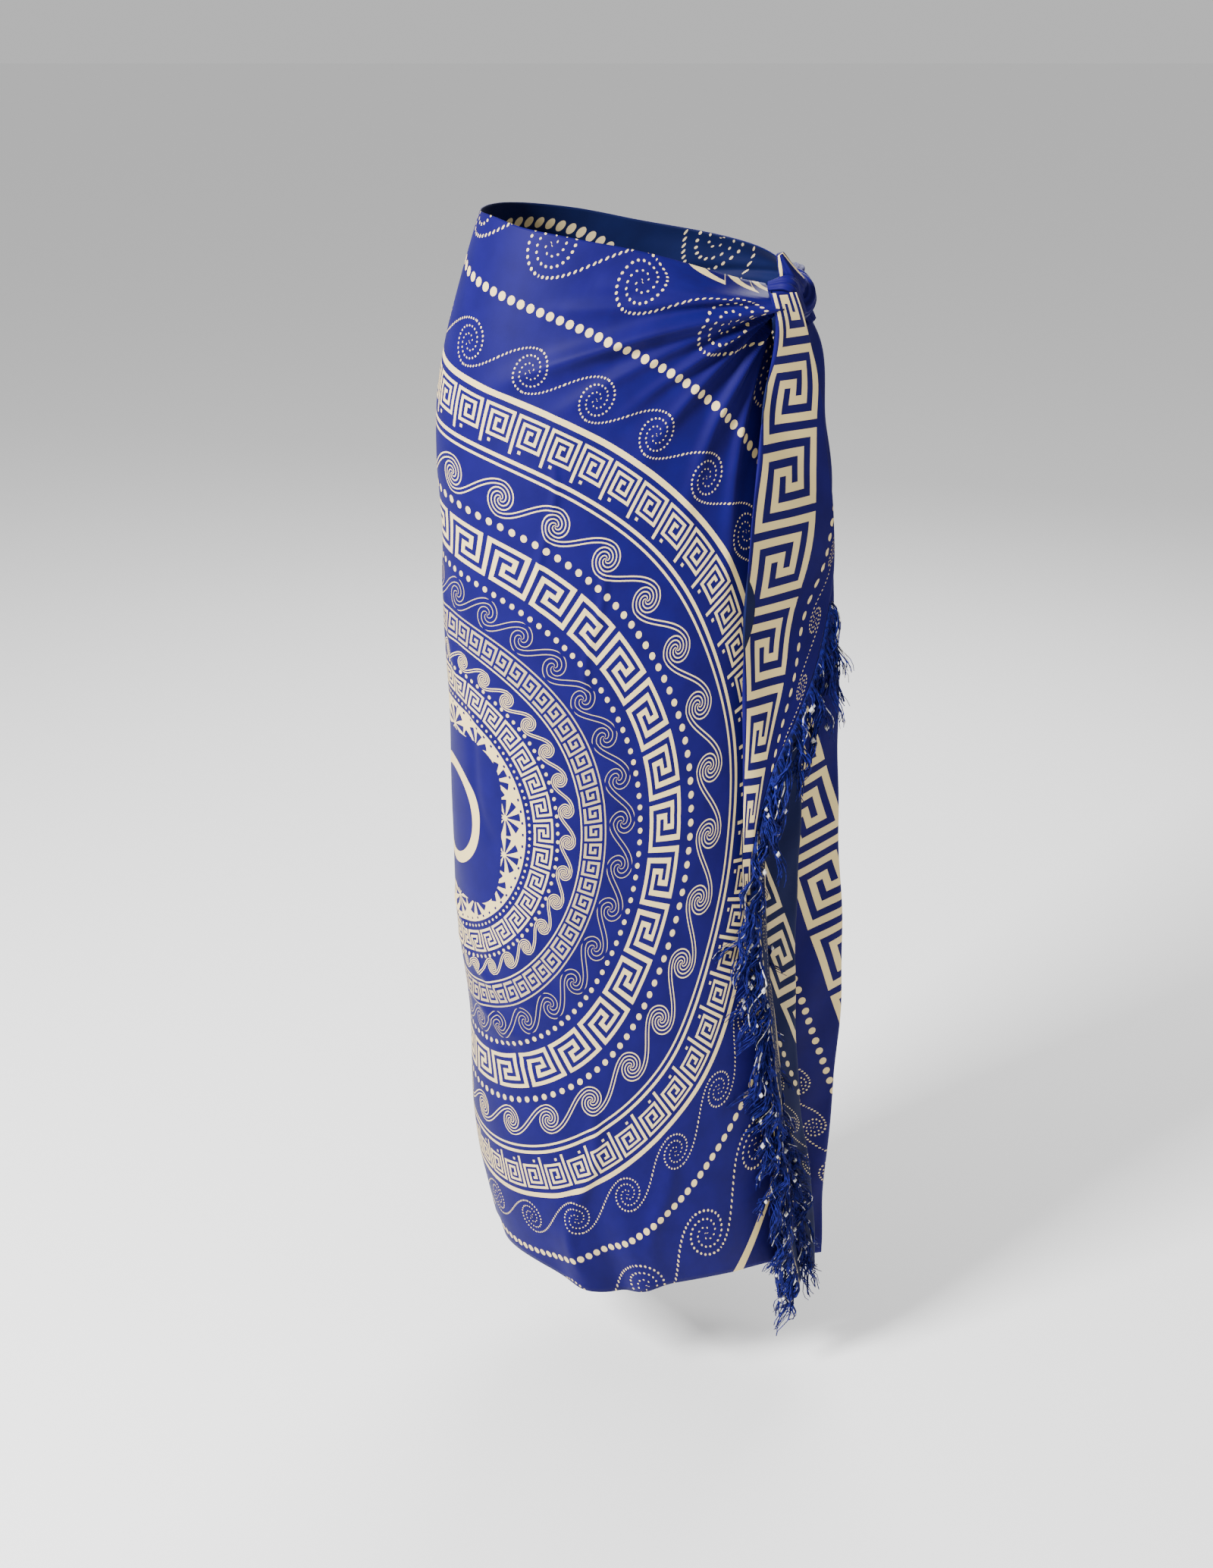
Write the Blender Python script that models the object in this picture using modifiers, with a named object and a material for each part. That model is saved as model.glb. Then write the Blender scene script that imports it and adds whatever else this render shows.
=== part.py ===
"""A sarong: one fringed rectangle of printed cloth, wrapped as a long skirt and knotted at the left hip.

Metres, +Z up. The origin is the centre of the waist opening, at the height of the waist.
The front of the garment faces -Y, so the wearer's right hip is at -X and the knot at +X.
"""
from collections import namedtuple
from math import cos, pi, radians, sin

import bmesh
import bpy
import numpy as np

# Driving sizes
WALL = 0.0012
SEAM_GAP = 0.0003
FALL_GAP = 0.0008
SECTION_POWER = 2.25
FLOOR_CLEAR = -1.185

# The worn outline: half sizes of the wrapped skirt at each height, about the origin
Section = namedtuple("Section", "height left right front back")
SECTIONS = (
    Section(0.03, 0.105, 0.140, 0.086, 0.098),
    Section(0.00, 0.116, 0.148, 0.092, 0.104),
    Section(-0.05, 0.132, 0.158, 0.100, 0.116),
    Section(-0.10, 0.146, 0.166, 0.108, 0.127),
    Section(-0.15, 0.155, 0.173, 0.116, 0.136),
    Section(-0.20, 0.157, 0.180, 0.124, 0.140),
    Section(-0.26, 0.154, 0.186, 0.131, 0.140),
    Section(-0.34, 0.156, 0.192, 0.136, 0.137),
    Section(-0.44, 0.153, 0.197, 0.139, 0.134),
    Section(-0.56, 0.154, 0.203, 0.140, 0.132),
    Section(-0.68, 0.152, 0.207, 0.140, 0.130),
    Section(-0.78, 0.143, 0.210, 0.139, 0.128),
    Section(-0.90, 0.142, 0.213, 0.138, 0.126),
    Section(-1.00, 0.130, 0.215, 0.136, 0.123),
    Section(-1.06, 0.118, 0.216, 0.128, 0.120),
    Section(-1.12, 0.100, 0.216, 0.124, 0.117),
)

# Top edge and hem of each panel, by share of the way from the right hip to the panel's end
Edge = namedtuple("Edge", "share top hem")
FRONT_EDGES = (
    Edge(0.00, 0.014, -1.036),
    Edge(0.15, 0.013, -1.037),
    Edge(0.28, 0.006, -1.042),
    Edge(0.40, 0.001, -1.056),
    Edge(0.48, -0.003, -1.064),
    Edge(0.58, -0.008, -1.051),
    Edge(0.70, -0.016, -1.043),
    Edge(0.84, -0.028, -1.042),
    Edge(0.93, -0.036, -1.054),
    Edge(1.00, -0.041, -1.076),
)
BACK_EDGES = (
    Edge(0.00, 0.014, -1.036),
    Edge(0.15, 0.014, -1.034),
    Edge(0.35, 0.006, -1.040),
    Edge(0.55, -0.008, -1.046),
    Edge(0.75, -0.019, -1.042),
    Edge(0.90, -0.028, -1.050),
    Edge(1.00, -0.034, -1.054),
)

# Length of each panel round the body, from the right hip to its end, at each height
Reach = namedtuple("Reach", "height front back")
REACHES = (
    Reach(0.03, 0.318, 0.380),
    Reach(-0.05, 0.329, 0.414),
    Reach(-0.10, 0.366, 0.458),
    Reach(-0.19, 0.384, 0.486),
    Reach(-0.32, 0.381, 0.494),
    Reach(-0.46, 0.382, 0.494),
    Reach(-0.62, 0.390, 0.494),
    Reach(-0.80, 0.400, 0.488),
    Reach(-0.95, 0.411, 0.482),
    Reach(-1.08, 0.421, 0.474),
)

# Gathers that run from the knot across the front: far end, height of the ridge and its half width there
KNOT_REACH = 0.345
KNOT_HEIGHT = -0.052
Gather = namedtuple("Gather", "reach height ridge half_width sag")
FRONT_GATHERS = (
    Gather(0.165, -0.034, 0.0050, 0.012, 0.000),
    Gather(0.150, -0.064, 0.0055, 0.014, 0.004),
    Gather(0.120, -0.118, 0.0062, 0.018, 0.010),
    Gather(0.165, -0.185, 0.0060, 0.022, 0.014),
    Gather(0.235, -0.205, 0.0052, 0.020, 0.010),
    Gather(0.300, -0.215, 0.0045, 0.016, 0.004),
)
BACK_KNOT_REACH = -0.440
BACK_KNOT_HEIGHT = -0.045
BACK_GATHERS = (
    Gather(-0.210, -0.040, 0.0046, 0.014, 0.000),
    Gather(-0.180, -0.105, 0.0055, 0.018, 0.006),
    Gather(-0.240, -0.200, 0.0058, 0.024, 0.014),
    Gather(-0.330, -0.260, 0.0052, 0.024, 0.010),
    Gather(-0.420, -0.290, 0.0045, 0.020, 0.004),
)
GATHER_KNOT_WIDTH = 0.35
GATHER_RISE = 0.12
GATHER_FADE_POWER = 0.8

# Soft flutes that open towards the hem: place round the body, height where one starts, outward size
Flute = namedtuple("Flute", "reach start swell half_width")
FLUTES = (
    Flute(0.040, -0.95, -0.0060, 0.020),
    Flute(0.168, -0.88, 0.0085, 0.017),
    Flute(0.205, -0.90, -0.0075, 0.014),
    Flute(0.236, -0.92, 0.0060, 0.016),
    Flute(0.330, -0.96, 0.0030, 0.022),
    Flute(-0.060, -0.80, 0.0090, 0.024),
    Flute(-0.130, -0.70, -0.0100, 0.026),
    Flute(-0.200, -0.62, 0.0120, 0.028),
    Flute(-0.270, -0.58, -0.0110, 0.028),
    Flute(-0.340, -0.52, 0.0140, 0.030),
    Flute(-0.410, -0.48, -0.0110, 0.026),
)
FLUTE_FULL_HEIGHT = -1.06
FLUTE_LIMIT = 1.1

# Waist roll: the gathered top edge swells outwards towards the knot
ROLL_SWELL = 0.010
ROLL_WIDTH = 0.011
ROLL_START = 0.45
ROLL_GROWTH = 1.5

# The front end hangs from the knot as a folded strip: hidden layer, fold on the left, free edge on the right
Fall = namedtuple("Fall", "height hidden_reach fold_reach fold_lift free_x free_y")
FRONT_FALL = (
    Fall(-0.072, 0.370, 0.347, 0.0120, 0.175, -0.068),
    Fall(-0.120, 0.386, 0.361, 0.0100, 0.186, -0.060),
    Fall(-0.185, 0.392, 0.363, 0.0110, 0.197, -0.056),
    Fall(-0.250, 0.389, 0.359, 0.0125, 0.206, -0.051),
    Fall(-0.320, 0.387, 0.357, 0.0120, 0.208, -0.053),
    Fall(-0.370, 0.387, 0.357, 0.0120, 0.197, -0.075),
    Fall(-0.430, 0.387, 0.357, 0.0120, 0.181, -0.100),
    Fall(-0.490, 0.387, 0.358, 0.0120, 0.168, -0.115),
    Fall(-0.560, 0.388, 0.360, 0.0090, 0.156, -0.121),
    Fall(-0.640, 0.392, 0.365, 0.0090, 0.157, -0.122),
    Fall(-0.760, 0.400, 0.376, 0.0090, 0.169, -0.118),
    Fall(-0.880, 0.412, 0.391, 0.0090, 0.184, -0.110),
    Fall(-0.980, 0.415, 0.397, 0.0090, 0.193, -0.105),
    Fall(-1.100, 0.418, 0.402, 0.0090, 0.203, -0.095),
)

# The back end hangs from the knot in a zigzag: rear fold against the hip, inner valley, front fold, free edge
Zigzag = namedtuple("Zigzag", "height rear_x rear_y valley_x valley_y front_x front_y free_x free_y")
BACK_FALL = (
    Zigzag(-0.087, 0.190, -0.008, 0.172, -0.026, 0.179, -0.037, 0.172, -0.042),
    Zigzag(-0.180, 0.205, -0.004, 0.176, -0.028, 0.186, -0.041, 0.173, -0.050),
    Zigzag(-0.300, 0.217, 0.000, 0.175, -0.029, 0.190, -0.045, 0.167, -0.060),
    Zigzag(-0.420, 0.227, 0.002, 0.171, -0.030, 0.191, -0.050, 0.158, -0.070),
    Zigzag(-0.540, 0.235, 0.003, 0.168, -0.030, 0.191, -0.054, 0.150, -0.078),
    Zigzag(-0.660, 0.242, 0.003, 0.168, -0.030, 0.192, -0.056, 0.150, -0.082),
    Zigzag(-0.780, 0.250, 0.001, 0.172, -0.030, 0.195, -0.056, 0.161, -0.080),
    Zigzag(-0.880, 0.246, -0.002, 0.181, -0.026, 0.206, -0.049, 0.183, -0.069),
    Zigzag(-0.980, 0.240, -0.006, 0.196, -0.018, 0.221, -0.038, 0.206, -0.052),
    Zigzag(-1.100, 0.243, -0.008, 0.208, -0.012, 0.233, -0.029, 0.223, -0.041),
)
REAR_TUCK = 0.030
VALLEY_SIDESTEP = 0.0005
FOLD_RADIUS = 0.007
FOLD_SHARE = 0.45
BEND_STEPS = 4

# The knot: two corners twisted round each other once, along an axis that points forwards
KNOT_CENTRE = (0.163, -0.049, -0.052)
KNOT_PITCH = 0.052
STRAND_RADIUS = 0.0092
TWIST_RADIUS = 0.0097
TWIST_STEPS = 14

# How each corner enters and leaves the knot: distances from the knot's centre and share of the full thickness
Lead = namedtuple("Lead", "right back up thickness")
FRONT_LEAD_IN = (Lead(-0.023, -0.034, -0.003, 0.70), Lead(-0.009, -0.033, -0.008, 0.95))
FRONT_LEAD_OUT = (Lead(0.010, 0.032, -0.016, 0.90), Lead(0.020, 0.036, -0.030, 0.60))
BACK_LEAD_IN = (Lead(-0.018, -0.042, 0.040, 0.35), Lead(-0.009, -0.038, 0.022, 0.80))
BACK_LEAD_OUT = (Lead(0.005, 0.036, 0.012, 0.95), Lead(0.005, 0.048, 0.013, 0.80))

# Fringe: number of locks on each end of the cloth, and where along the free edge the fringe starts
FRONT_LOCKS = 44
BACK_LOCKS = 16
FRONT_FRINGE_SPAN = (-0.235, -1.085)
BACK_FRINGE_SPAN = (-0.700, -0.960)
STRIP_WIDTH = 0.0040
EDGE_SLACK = 0.0005

# One lock of yarn: its size, how it spreads along the cloth, and how it leans out from the cloth by height
LOCK_LENGTH = 0.072
LOCK_THICKNESS = 0.0024
LOCK_SWAY = 0.015
LOCK_VARIATION = 0.12
LOCK_SHORTEST = 0.020
Lean = namedtuple("Lean", "height front_splay front_lean back_splay back_lean")
LOCK_LEANS = (
    Lean(-0.235, 0.34, 0.08, 0.16, -0.14),
    Lean(-0.400, 0.17, 0.12, 0.16, -0.14),
    Lean(-0.560, 0.14, 0.24, 0.16, -0.14),
    Lean(-0.700, 0.14, 0.26, 0.15, -0.13),
    Lean(-0.880, 0.16, 0.26, 0.03, -0.08),
    Lean(-1.085, 0.14, 0.26, -0.04, -0.04),
)
Bend = namedtuple("Bend", "length_share sidestep thickness_share")
LOCK_BENDS = (
    Bend(0.10, 0.002, 1.00),
    Bend(0.55, 0.002, 0.90),
    Bend(1.00, 0.002, 0.45),
)

ROYAL_BLUE = (0.030, 0.045, 0.380, 1.0)
TEAL_BLUE = (0.030, 0.070, 0.250, 1.0)
DEEP_BLUE = (0.015, 0.025, 0.240, 1.0)

# Mesh steps: across a panel, share of its height that is meshed finely, and angles of the outline loop
PANEL_STEPS = 32
FINE_SHARE = 0.2
LOOP_ANGLES = np.linspace(-1.25 * pi, 1.25 * pi, 1201)
LOOP_START = len(LOOP_ANGLES) // 2


def table_value(rows, column, height, key="height"):
    """Read one column of a table at any height, on a smooth curve through its rows."""
    places = np.array([getattr(row, key) for row in rows])
    values = np.array([getattr(row, column) for row in rows])
    order = np.argsort(places)
    places, values = places[order], values[order]
    slopes = np.gradient(values, places)
    height = np.clip(height, places[0], places[-1])
    i = np.clip(np.searchsorted(places, height) - 1, 0, len(places) - 2)
    step = places[i + 1] - places[i]
    t = (height - places[i]) / step
    return ((2 * t**3 - 3 * t**2 + 1) * values[i] + (t**3 - 2 * t**2 + t) * step * slopes[i]
            + (3 * t**2 - 2 * t**3) * values[i + 1] + (t**3 - t**2) * step * slopes[i + 1])


def body_loop(height):
    """One horizontal loop of the worn outline: distance from the right hip, x, y and outward normal."""
    left, right, front, back = (table_value(SECTIONS, column, height)
                                for column in ("left", "right", "front", "back"))
    cosines, sines = np.cos(LOOP_ANGLES), np.sin(LOOP_ANGLES)
    power = 2 / SECTION_POWER
    x = (right - left) / 2 - (right + left) / 2 * np.sign(cosines) * np.abs(cosines)**power
    y = -np.where(sines > 0, front, back) * np.sign(sines) * np.abs(sines)**power
    run = np.concatenate([[0], np.cumsum(np.hypot(np.diff(x), np.diff(y)))])
    tangent_x, tangent_y = np.gradient(x, run), np.gradient(y, run)
    size = np.hypot(tangent_x, tangent_y)
    return run - run[LOOP_START], x, y, tangent_y / size, -tangent_x / size


def on_body(reach, height, lift=0.0):
    """A point at a distance round the body from the right hip, moved outwards by lift."""
    run, x, y, normal_x, normal_y = body_loop(height)
    return np.array([np.interp(reach, run, x) + lift * np.interp(reach, run, normal_x),
                     np.interp(reach, run, y) + lift * np.interp(reach, run, normal_y),
                     height])


def gather_lift(reach, height, gathers, knot_reach, knot_height):
    """How far the gathers that fan out from the knot raise the cloth at one point."""
    lift = 0.0
    for gather in gathers:
        run, drop = gather.reach - knot_reach, gather.height - knot_height
        length = np.hypot(run, drop)
        along = ((reach - knot_reach) * run + (height - knot_height) * drop) / length**2
        if not 0 < along < 1:
            continue
        bow = gather.sag * sin(pi * along)
        across = ((reach - knot_reach) * drop - (height - knot_height) * run) / length
        across += bow if run > 0 else -bow
        half_width = gather.half_width * (GATHER_KNOT_WIDTH + (1 - GATHER_KNOT_WIDTH) * along)
        fade = min(1.0, along / GATHER_RISE) * (1 - along)**GATHER_FADE_POWER
        lift += gather.ridge * fade * np.exp(-(across / half_width)**2)
    return lift


def flute_lift(reach, height):
    """How far the soft hem flutes raise or sink the cloth at one point."""
    lift = 0.0
    for flute in FLUTES:
        if height < flute.start:
            growth = min((flute.start - height) / (flute.start - FLUTE_FULL_HEIGHT), FLUTE_LIMIT)
            lift += flute.swell * growth * np.exp(-((reach - flute.reach) / flute.half_width)**2)
    return lift


def fold_lift(reach, height):
    """How far all the soft folds of a panel raise the cloth at one point."""
    if reach >= 0:
        gathers = gather_lift(reach, height, FRONT_GATHERS, KNOT_REACH, KNOT_HEIGHT)
    else:
        gathers = gather_lift(reach, height, BACK_GATHERS, BACK_KNOT_REACH, BACK_KNOT_HEIGHT)
    return gathers + flute_lift(reach, height)


def panel_lift(reach, height, share, top):
    """The whole relief of a panel: its folds and the rolled top edge."""
    roll = 0.0
    if share > ROLL_START:
        growth = ((share - ROLL_START) / (1 - ROLL_START))**ROLL_GROWTH
        roll = ROLL_SWELL * growth * np.exp(-((top - height - ROLL_WIDTH) / ROLL_WIDTH)**2)
    return fold_lift(reach, height) + roll


def make_material(name, colour, roughness):
    material = bpy.data.materials.new(name)
    material.use_nodes = True
    shader = material.node_tree.nodes["Principled BSDF"]
    shader.inputs["Base Color"].default_value = colour
    shader.inputs["Roughness"].default_value = roughness
    shader.inputs["Metallic"].default_value = 0.0
    material.diffuse_color = colour
    return material


def add_object(name, data, collection, material):
    item = bpy.data.objects.new(name, data)
    collection.objects.link(item)
    data.materials.append(material)
    return item


def sheet_object(name, points, collection, material, offset):
    """A thin wall of cloth through a grid of points, whose columns run left to right as seen from outside."""
    rows, columns = points.shape[:2]
    mesh = bpy.data.meshes.new(name)
    faces = [(j * columns + i, (j + 1) * columns + i, (j + 1) * columns + i + 1, j * columns + i + 1)
             for j in range(rows - 1) for i in range(columns - 1)]
    mesh.from_pydata(points.reshape(-1, 3).tolist(), [], faces)
    mesh.shade_smooth()
    item = add_object(name, mesh, collection, material)
    solidify = item.modifiers.new("wall", "SOLIDIFY")
    solidify.thickness = WALL
    solidify.offset = offset
    return item


def panel_points(edges, column, side, columns, row_shares):
    """The grid of a panel that runs from the seam at the right hip to its end at the left hip."""
    points = np.empty((len(row_shares), columns + 1, 3))
    for i in range(columns + 1):
        share = i / columns
        top = table_value(edges, "top", share, key="share")
        hem = table_value(edges, "hem", share, key="share")
        for j, row_share in enumerate(row_shares):
            height = top + (hem - top) * row_share
            length = table_value(REACHES, column, height)
            reach = side * (SEAM_GAP / 2 + share * (length - SEAM_GAP / 2))
            points[j, i] = on_body(reach, height, panel_lift(reach, height, share, top))
    return points if side > 0 else points[:, ::-1]


def folded_row(start, fold, end, start_steps, end_steps):
    """Points along a sheet that runs straight from start, round a soft fold, and straight on to end."""
    start, fold, end = (np.array(point, float) for point in (start, fold, end))
    arms = [start - fold, end - fold]
    lengths = [np.linalg.norm(arm) for arm in arms]
    bend = min(FOLD_RADIUS, FOLD_SHARE * min(lengths))
    inlet = fold + arms[0] / lengths[0] * bend
    outlet = fold + arms[1] / lengths[1] * bend
    first = [start + (inlet - start) * t for t in np.linspace(0, 1, start_steps + 1)[:-1]]
    turn = [(1 - t)**2 * inlet + 2 * t * (1 - t) * fold + t**2 * outlet
            for t in np.linspace(0, 1, BEND_STEPS + 1)]
    last = [outlet + (end - outlet) * t for t in np.linspace(0, 1, end_steps + 1)[1:]]
    return np.array([*first, *turn, *last])


def fall_points(heights, row_ends, start_steps, end_steps):
    """The grid of a hanging fold, from its start, fold and end at each height."""
    points = np.empty((len(heights), start_steps + BEND_STEPS + end_steps + 1, 3))
    for j, height in enumerate(heights):
        start, fold, end = row_ends(height)
        points[j, :, :2] = folded_row(start, fold, end, start_steps, end_steps)
        points[j, :, 2] = height
    return points


def front_fall_ends(height):
    hidden, fold, lift, free_x, free_y = (table_value(FRONT_FALL, column, height)
                                          for column in Fall._fields[1:])
    under = on_body(hidden, height, fold_lift(hidden, height) + WALL / 2 + FALL_GAP)[:2]
    left = on_body(fold, height, lift)[:2]
    return under, left, (free_x, free_y)


def rear_fold_ends(height):
    rear_x, rear_y, valley_x, valley_y = (table_value(BACK_FALL, column, height)
                                          for column in Zigzag._fields[1:5])
    reach = REAR_TUCK - table_value(REACHES, "back", height)
    start = on_body(reach, height, fold_lift(reach, height) + WALL / 2 + FALL_GAP)[:2]
    return start, (rear_x, rear_y), (valley_x, valley_y)


def front_fold_ends(height):
    valley_x, valley_y, front_x, front_y, free_x, free_y = (
        table_value(BACK_FALL, column, height) for column in Zigzag._fields[3:])
    start = (valley_x - VALLEY_SIDESTEP, valley_y - WALL - FALL_GAP)
    return start, (front_x, front_y), (free_x, free_y)


def knot_strand(name, phase, lead_in, lead_out, collection, material):
    """One corner of the cloth: a rolled strand that twists once round the knot's axis."""
    centre = np.array(KNOT_CENTRE)
    twist = []
    for step in range(TWIST_STEPS + 1):
        turn = step / TWIST_STEPS
        angle = phase + 2 * pi * turn
        twist.append(centre + (TWIST_RADIUS * cos(angle), KNOT_PITCH * (turn - 0.5), TWIST_RADIUS * sin(angle)))
    route = [*(centre + lead[:3] for lead in lead_in), *twist, *(centre + lead[:3] for lead in lead_out)]
    radii = [*(lead.thickness for lead in lead_in), *([1.0] * len(twist)),
             *(lead.thickness for lead in lead_out)]
    curve = bpy.data.curves.new(name, "CURVE")
    curve.dimensions = "3D"
    curve.bevel_depth = STRAND_RADIUS
    curve.bevel_resolution = 2
    curve.use_fill_caps = True
    spline = curve.splines.new("POLY")
    spline.points.add(len(route) - 1)
    for point, place, radius in zip(spline.points, route, radii):
        point.co = (*place, 1.0)
        point.radius = radius
    return add_object(name, curve, collection, material)


def free_edge(points, heights):
    """The free edge of a hanging fold at each height, and the direction across it, away from the cloth."""
    rows = points[::-1, -1, 2]
    edge = np.stack([np.interp(heights, rows, points[::-1, -1, axis]) for axis in range(3)], axis=-1)
    inside = np.stack([np.interp(heights, rows, points[::-1, -2, axis]) for axis in range(3)], axis=-1)
    across = edge - inside
    return edge, across / np.linalg.norm(across, axis=1)[:, None]


def fringe_object(name, points, span, locks, side, collection, material):
    """A narrow strip beside the free edge, with one lock of twisted yarn drawn out of every other step."""
    heights = np.linspace(*span, 2 * locks + 2)
    edge, across = free_edge(points, heights)
    out = np.array([(a[1], -a[0], 0.0) for a in across])
    inner = edge + across * (SEAM_GAP + EDGE_SLACK)
    outer = inner + across * STRIP_WIDTH
    mesh = bpy.data.meshes.new(name)
    work = bmesh.new()
    rings = [[work.verts.new(point) for point in (inner[k] + out[k] * WALL / 2, outer[k] + out[k] * WALL / 2,
                                                   outer[k] - out[k] * WALL / 2, inner[k] - out[k] * WALL / 2)]
             for k in range(len(heights))]
    roots = []
    for k in range(len(heights) - 1):
        for corner in range(4):
            face = work.faces.new((rings[k][corner], rings[k][(corner + 1) % 4],
                                   rings[k + 1][(corner + 1) % 4], rings[k + 1][corner]))
            if corner == 1 and k % 2 == 1:
                roots.append((k, face))
    work.faces.new(rings[0][::-1])
    work.faces.new(rings[-1])
    bmesh.ops.recalc_face_normals(work, faces=work.faces[:])
    for number, (k, face) in enumerate(roots):
        splay = table_value(LOCK_LEANS, side + "_splay", heights[k]) + LOCK_SWAY * cos(number * 1.7)
        lean = table_value(LOCK_LEANS, side + "_lean", heights[k]) + LOCK_SWAY * sin(number * 2.4)
        direction = -np.array((0, 0, 1.0)) + across[k] * splay + out[k] * lean
        direction /= np.linalg.norm(direction)
        length = LOCK_LENGTH * (1 + LOCK_VARIATION * sin(number * 1.3))
        length = max(LOCK_SHORTEST, min(length, heights[k] - FLOOR_CLEAR))
        centre = np.mean([vert.co for vert in face.verts], axis=0)
        normal = np.cross(direction, across[k])
        normal /= np.linalg.norm(normal)
        other = np.cross(normal, direction)
        near = np.sign(normal @ out[k])
        signs = {rings[k][1]: (near, 1), rings[k][2]: (-near, 1),
                 rings[k + 1][2]: (-near, -1), rings[k + 1][1]: (near, -1)}
        corners = [normal * signs[vert][0] + other * signs[vert][1] for vert in face.verts]
        for bend in LOCK_BENDS:
            face = bmesh.ops.extrude_discrete_faces(work, faces=[face])["faces"][0]
            goal = centre + across[k] * bend.sidestep + direction * length * bend.length_share
            for vert, corner in zip(face.verts, corners):
                vert.co = goal + corner * LOCK_THICKNESS * bend.thickness_share / 2
    work.to_mesh(mesh)
    work.free()
    return add_object(name, mesh, collection, material)


def main():
    for item in list(bpy.data.objects):
        bpy.data.objects.remove(item, do_unlink=True)
    collection = bpy.data.collections.new("sarong")
    bpy.context.scene.collection.children.link(collection)
    cloth = make_material("printed_cloth", ROYAL_BLUE, 0.5)
    turned = make_material("turned_cloth", TEAL_BLUE, 0.6)
    yarn = make_material("fringe_yarn", DEEP_BLUE, 0.8)

    front_rows = np.concatenate([np.linspace(0, FINE_SHARE, 11), np.linspace(FINE_SHARE, 1, 14)[1:]])
    front = panel_points(FRONT_EDGES, "front", 1, PANEL_STEPS, front_rows)
    sheet_object("front_panel", front, collection, cloth, -1)
    back_rows = np.concatenate([np.linspace(0, FINE_SHARE, 8), np.linspace(FINE_SHARE, 1, 14)[1:]])
    back = panel_points(BACK_EDGES, "back", -1, PANEL_STEPS, back_rows)
    sheet_object("back_panel", back, collection, cloth, -1)

    front_heights = np.linspace(FRONT_FALL[0].height, FRONT_FALL[-1].height, 26)
    strip = fall_points(front_heights, front_fall_ends, 3, 6)
    sheet_object("front_fall", strip, collection, cloth, 0)
    back_heights = np.linspace(BACK_FALL[0].height, BACK_FALL[-1].height, 18)
    rear = fall_points(back_heights, rear_fold_ends, 4, 6)
    sheet_object("back_fall_rear", rear[:, ::-1], collection, cloth, 0)
    fore = fall_points(back_heights, front_fold_ends, 3, 4)
    sheet_object("back_fall_front", fore[:, ::-1], collection, turned, 0)

    knot_strand("knot_front_corner", radians(-90), FRONT_LEAD_IN, FRONT_LEAD_OUT, collection, cloth)
    knot_strand("knot_back_corner", radians(90), BACK_LEAD_IN, BACK_LEAD_OUT, collection, cloth)

    fringe_object("fringe_front", strip, FRONT_FRINGE_SPAN, FRONT_LOCKS, "front", collection, yarn)
    fringe_object("fringe_back", fore, BACK_FRINGE_SPAN, BACK_LOCKS, "back", collection, yarn)


main()
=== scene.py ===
"""Looks of a sarong: a fringed rectangle of printed cloth, wrapped as a long skirt and knotted at the hip.

Metres, +Z up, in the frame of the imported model. The cloth's folds repeat the sizes of its solids and add
finer gathers. The print is drawn by shader maths from each point's place on the flat cloth.
"""
from collections import namedtuple
from math import atan2, pi, radians

import bpy
import numpy as np
from bpy.props import FloatProperty, FloatVectorProperty, IntProperty, PointerProperty
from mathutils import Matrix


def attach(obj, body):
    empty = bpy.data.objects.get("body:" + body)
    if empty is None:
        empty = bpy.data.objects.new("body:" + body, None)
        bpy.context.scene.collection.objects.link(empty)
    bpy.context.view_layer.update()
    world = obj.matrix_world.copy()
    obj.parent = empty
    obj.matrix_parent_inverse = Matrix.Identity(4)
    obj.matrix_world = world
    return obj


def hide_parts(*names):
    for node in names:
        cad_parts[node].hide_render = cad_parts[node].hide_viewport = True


bl_info = {
    "name": "Sarong looks",
    "version": (1, 0, 0),
    "blender": (4, 5, 0),
    "location": "3D View > Sidebar > Sarong",
    "description": "Dresses the packed model of a knotted sarong in printed cloth and fringe",
    "category": "Object",
}

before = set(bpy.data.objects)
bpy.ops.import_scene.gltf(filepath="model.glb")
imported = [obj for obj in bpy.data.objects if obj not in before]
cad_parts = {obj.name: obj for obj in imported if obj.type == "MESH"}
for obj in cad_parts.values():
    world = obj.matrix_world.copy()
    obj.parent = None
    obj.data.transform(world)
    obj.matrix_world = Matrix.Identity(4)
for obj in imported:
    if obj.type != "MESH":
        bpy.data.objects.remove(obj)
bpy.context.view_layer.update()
FLOOR_HEIGHT = -1.200

# Sizes of the solids
SEAM_GAP = 0.0003
WALL = 0.0012
FALL_GAP = 0.0008
SECTION_POWER = 2.25

# The worn outline: half sizes of the wrapped skirt at each height, about the origin
Section = namedtuple("Section", "height left right front back")
SECTIONS = (
    Section(0.03, 0.105, 0.140, 0.086, 0.098),
    Section(0.00, 0.116, 0.148, 0.092, 0.104),
    Section(-0.05, 0.132, 0.158, 0.100, 0.116),
    Section(-0.10, 0.146, 0.166, 0.108, 0.127),
    Section(-0.15, 0.155, 0.173, 0.116, 0.136),
    Section(-0.20, 0.157, 0.180, 0.124, 0.140),
    Section(-0.26, 0.154, 0.186, 0.131, 0.140),
    Section(-0.34, 0.156, 0.192, 0.136, 0.137),
    Section(-0.44, 0.153, 0.197, 0.139, 0.134),
    Section(-0.56, 0.154, 0.203, 0.140, 0.132),
    Section(-0.68, 0.152, 0.207, 0.140, 0.130),
    Section(-0.78, 0.143, 0.210, 0.139, 0.128),
    Section(-0.90, 0.142, 0.213, 0.138, 0.126),
    Section(-1.00, 0.130, 0.215, 0.136, 0.123),
    Section(-1.06, 0.118, 0.216, 0.128, 0.120),
    Section(-1.12, 0.100, 0.216, 0.124, 0.117),
)

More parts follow.
